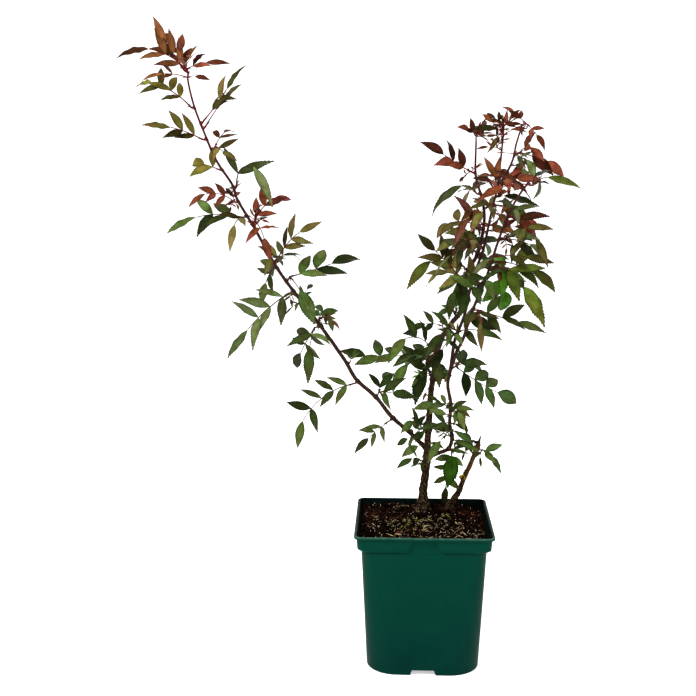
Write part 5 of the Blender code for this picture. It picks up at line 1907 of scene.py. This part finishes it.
# %% [markdown]
# Leaves turn their faces to the light, and the photographed ones mostly show theirs to the camera. So a
# blade is turned towards the light first, and one that would still be seen from its edge is turned on
# towards the viewer. All leaflets of one colour are kept together, to become one piece.

# %% Hang them
BLADE_WIDTHS = {
    "red": 0.42, "copper": 0.35, "plum": 0.38, "olive": 0.4, "bronze": 0.38, "green": 0.41, "grey": 0.34,
    "long": 0.4, "dark": 0.4, "bright": 0.6, "yellow": 0.7,
}
SLENDER = {"long_cane": 0.8, "right_stem": 0.86, "middle_stem": 0.9, "main_stem": 0.95}
YOUNG_SIZE = 15.5
YOUNG_WIDTH = 0.28
BROAD_SIZE = 38
LIGHT_FROM = Vector((0, -0.75, 0.65))
BROAD_TURN = 1.1
TURN_TO_LIGHT = 0.55
EDGE_ON = 0.55
EDGE_TURN = 0.8
DARK_TONES = 1.2

leaflets = {name: [] for name in LEAF_COLOURS}
tones = {name: [] for name in LEAF_COLOURS}
nodes_of = {name: set() for name in LEAF_COLOURS}


def hang(colour, spray, points, tone):
    """Adds a leaflet to the piece of its colour."""
    leaflets[colour].append(points)
    tones[colour].append(tone)
    if spray.name in SPRAYS:
        nodes_of[colour].add(spray.name)


def facing(direction, top, size):
    """The leaflet's upper side turned towards the light, and to the viewer where it is edge-on."""
    top = upright(direction, top + LIGHT_FROM * (BROAD_TURN if size > BROAD_SIZE else TURN_TO_LIGHT))
    if abs(top.dot(TO_VIEWER)) < EDGE_ON:
        top = upright(direction, top + TO_VIEWER * EDGE_TURN)
    return top


for spray in sprays:
    rng = random.Random(spray.name + " blades")
    for root, direction, top, length, leaf in spray.blades:
        young = leaf.size < YOUNG_SIZE
        usual = YOUNG_WIDTH if young else BLADE_WIDTHS[leaf.colour] * SLENDER.get(spray.limb.name, 1)
        points = bent_leaflet(leaf.width or usual, YOUNG_FOLD if young else FOLD, rng)
        points = placed_leaflet(points, root, direction, facing(direction, top, leaf.size), length)
        hang(leaf.colour, spray, points, rng.random() ** DARK_TONES)
print({name: len(copies) for name, copies in leaflets.items()})

# %% [markdown]
# ## Stipules and stalks
# At the foot of each leaf's stalk are two small wings, the stipules. They are narrow copies of the same
# blade, because at their size nobody sees another outline. The stalk itself is a thin tube that swells
# at its foot, and it stands on a short stem.

# %% Stipules
STIPULE_LENGTH = 7 * MM
STIPULE_WIDTH = 0.22
STIPULE_SPREAD = 17
STIPULE_TOP = UP * 0.6 + TO_VIEWER * 0.6
STIPULE_TONE = 0.5
STIPULE_COLOURS = {"leaf_red": "plum", "leaf_olive": "copper", "leaf_bright": "green"}

for spray in sprays:
    rng = random.Random(spray.name + " stipules")
    for rachis, leaf in spray.stalks:
        if leaf.size < YOUNG_SIZE:
            continue
        along = rachis.at(0)[1]
        top = upright(along, STIPULE_TOP)
        for side in (1, -1):
            way = Quaternion(top, math.radians(STIPULE_SPREAD * side)) @ along
            points = bent_leaflet(STIPULE_WIDTH, FOLD, rng)
            points = placed_leaflet(points, spray.fork, way, top, STIPULE_LENGTH)
            hang(STIPULE_COLOURS.get(slot_of(leaf.colour), leaf.colour), spray, points, STIPULE_TONE)

for name, copies in leaflets.items():
    piece = joined_copies("leaves_" + name, leaflet_pattern, copies, tones[name])
    finish_piece(piece, leaf_finishes[name], slot_of(name), *sorted(nodes_of[name]), smooth=50)

# %% Stalks
STALK_SIDES = 6
STALK_STEPS = 9
STALK_RADIUS = 0.78 * MM
STALK_TIP_SHARE = 0.7
STALK_FOOT_SWELL = 0.6
STALK_FOOT_FADE = 12
FULL_LEAF = 30
THINNEST = 0.75
RED_SLOTS = ("leaf_red", "leaf_olive")
STALK_CLOUDS = 60.0
STALK_ROUGHNESS = (0.4, 0.6)

stalk_runs = {"red_stalks": [], "green_stalks": []}
for spray in sprays:
    for rachis, leaf in spray.stalks:
        thickness = STALK_RADIUS * min(max(leaf.size / FULL_LEAF, THINNEST), 1)
        points = [spray.heart.lerp(spray.root, 0.5), spray.root]
        radii = [1.1 * STEM_RADIUS, STEM_RADIUS]
        for i in range(STALK_STEPS + 1):
            share = i / STALK_STEPS
            points.append(rachis.arc(share))
            swell = STALK_FOOT_SWELL * math.exp(-share * STALK_FOOT_FADE)
            radii.append(thickness * (1 + swell) * (1 - (1 - STALK_TIP_SHARE) * share))
        kind = "red_stalks" if slot_of(leaf.colour) in RED_SLOTS else "green_stalks"
        stalk_runs[kind].append((points, radii))


def stalk_finish(name, first, second):
    """Smooth living stalk: two colours in soft clouds and a slight sheen."""
    material, tree, shader, coordinates = new_finish(name, LEAF_GLOSS)
    clouds = place_group(tree, mottle, coordinates["Object"], Scale=STALK_CLOUDS)
    join(tree, blend_colours(tree, clouds["Cloud"], first, second), shader.inputs["Base Color"])
    join(tree, remap(tree, clouds["Grain"], 0, 1, *STALK_ROUGHNESS), shader.inputs["Roughness"])
    return material


STALK_FINISHES = {
    "red_stalks": (stalk_finish("red_stalk", paint(100, 18, 22), paint(52, 18, 18)), "leaf_red"),
    "green_stalks": (stalk_finish("green_stalk", paint(46, 42, 22), paint(58, 24, 20)), "leaf_green"),
}
for name, (material, slot) in STALK_FINISHES.items():
    finish_piece(tubes(name, stalk_runs[name], STALK_SIDES), material, slot, *SPRAYS, smooth=60)

# %% [markdown]
# ## Buds and prickles
# A pointed bud sits in each axil, and the canes have a few hooked prickles. Each is modelled once: the
# bud is a sphere drawn out to a point, and the prickle is a cone whose top is pulled over to one side.

# %% Model a bud and a prickle
BUD_LIFT = 0.35
BUD_TAPER = 0.55


def add_bud():
    """A ball whose upper part is drawn in."""
    deselect()
    bpy.ops.mesh.primitive_uv_sphere_add(segments=8, ring_count=6, radius=0.5)
    bud = bpy.context.object
    for vert in bud.data.vertices:
        vert.co.z += BUD_LIFT
        taper = 1 - BUD_TAPER * smooth_step(vert.co.z)
        vert.co.x *= taper
        vert.co.y *= taper
    return template(bud)


def add_prickle():
    """A short cone whose top is pulled over and closed to a point."""
    deselect()
    bpy.ops.mesh.primitive_cone_add(vertices=6, radius1=0.3, radius2=0.12, depth=0.5, location=(0, 0, 0.2))
    prickle = bpy.context.object
    apply_place(prickle)
    bpy.ops.object.mode_set(mode="EDIT")
    pick(prickle, "faces", lambda face: face.normal.z > 0.9)
    bpy.ops.mesh.extrude_region_move(TRANSFORM_OT_translate={"value": (-0.3, 0, 0.5)})
    bpy.ops.mesh.merge(type="CENTER")
    bpy.ops.object.mode_set(mode="OBJECT")
    return template(prickle)


bud_pattern = add_bud()
prickle_pattern = add_prickle()
print("bud:", len(bud_pattern[1]), "faces, prickle:", len(prickle_pattern[1]), "faces")

# %% [markdown]
# A bud belongs to each spray, just above its stem. Prickles have no such place: they stand at uneven
# distances, all round the older wood, and point a little down the cane.

# %% Place the buds and the prickles
BUD_SIZE = (1.7 * MM, 1.7 * MM, 2.8 * MM)
BUD_LEAN = 0.6
PRICKLE_SPACING = 15 * MM
PRICKLE_SPACING_VARIES = (0.4, 1.8)
PRICKLE_LENGTH = (1.8, 3.2)
PRICKLE_YOUTH = 0.8
PRICKLE_SUNK = 0.9

buds = []
for spray in sprays:
    axis = spray.limb.at(spray.run)[1]
    out = (spray.root - spray.heart).normalized()
    up = (axis + out * BUD_LEAN).normalized()
    side = up.orthogonal().normalized()
    foot = spray.root + axis * BUD_SIZE[0]
    buds.append(bud_pattern[0] * BUD_SIZE @ np.array((side, up.cross(side), up)) + np.array(foot))
rng = random.Random("prickles")
prickles = []
for limb in limbs.values():
    run = FLARE_LENGTH * 2
    while run < limb.length:
        if limb.youth_at(run) < PRICKLE_YOUTH:
            place, axis = limb.at(run)
            out = Quaternion(axis, rng.uniform(0, 2 * math.pi)) @ axis.orthogonal().normalized()
            size = rng.uniform(*PRICKLE_LENGTH) * MM
            foot = np.array(place + out * limb.radius(run) * PRICKLE_SUNK)
            prickles.append(prickle_pattern[0] * size @ np.array((axis, out.cross(axis), out)) + foot)
        run += PRICKLE_SPACING * rng.uniform(*PRICKLE_SPACING_VARIES)
print("buds:", len(buds), "prickles:", len(prickles))
finish_piece(joined_copies("axil_buds", bud_pattern, buds),
             stalk_finish("bud_red", paint(120, 30, 32), paint(70, 30, 24)), "leaf_red", smooth=60)
finish_piece(joined_copies("prickles", prickle_pattern, prickles),
             stalk_finish("prickle_brown", paint(52, 28, 22), paint(90, 52, 36)), "bark", smooth=40)
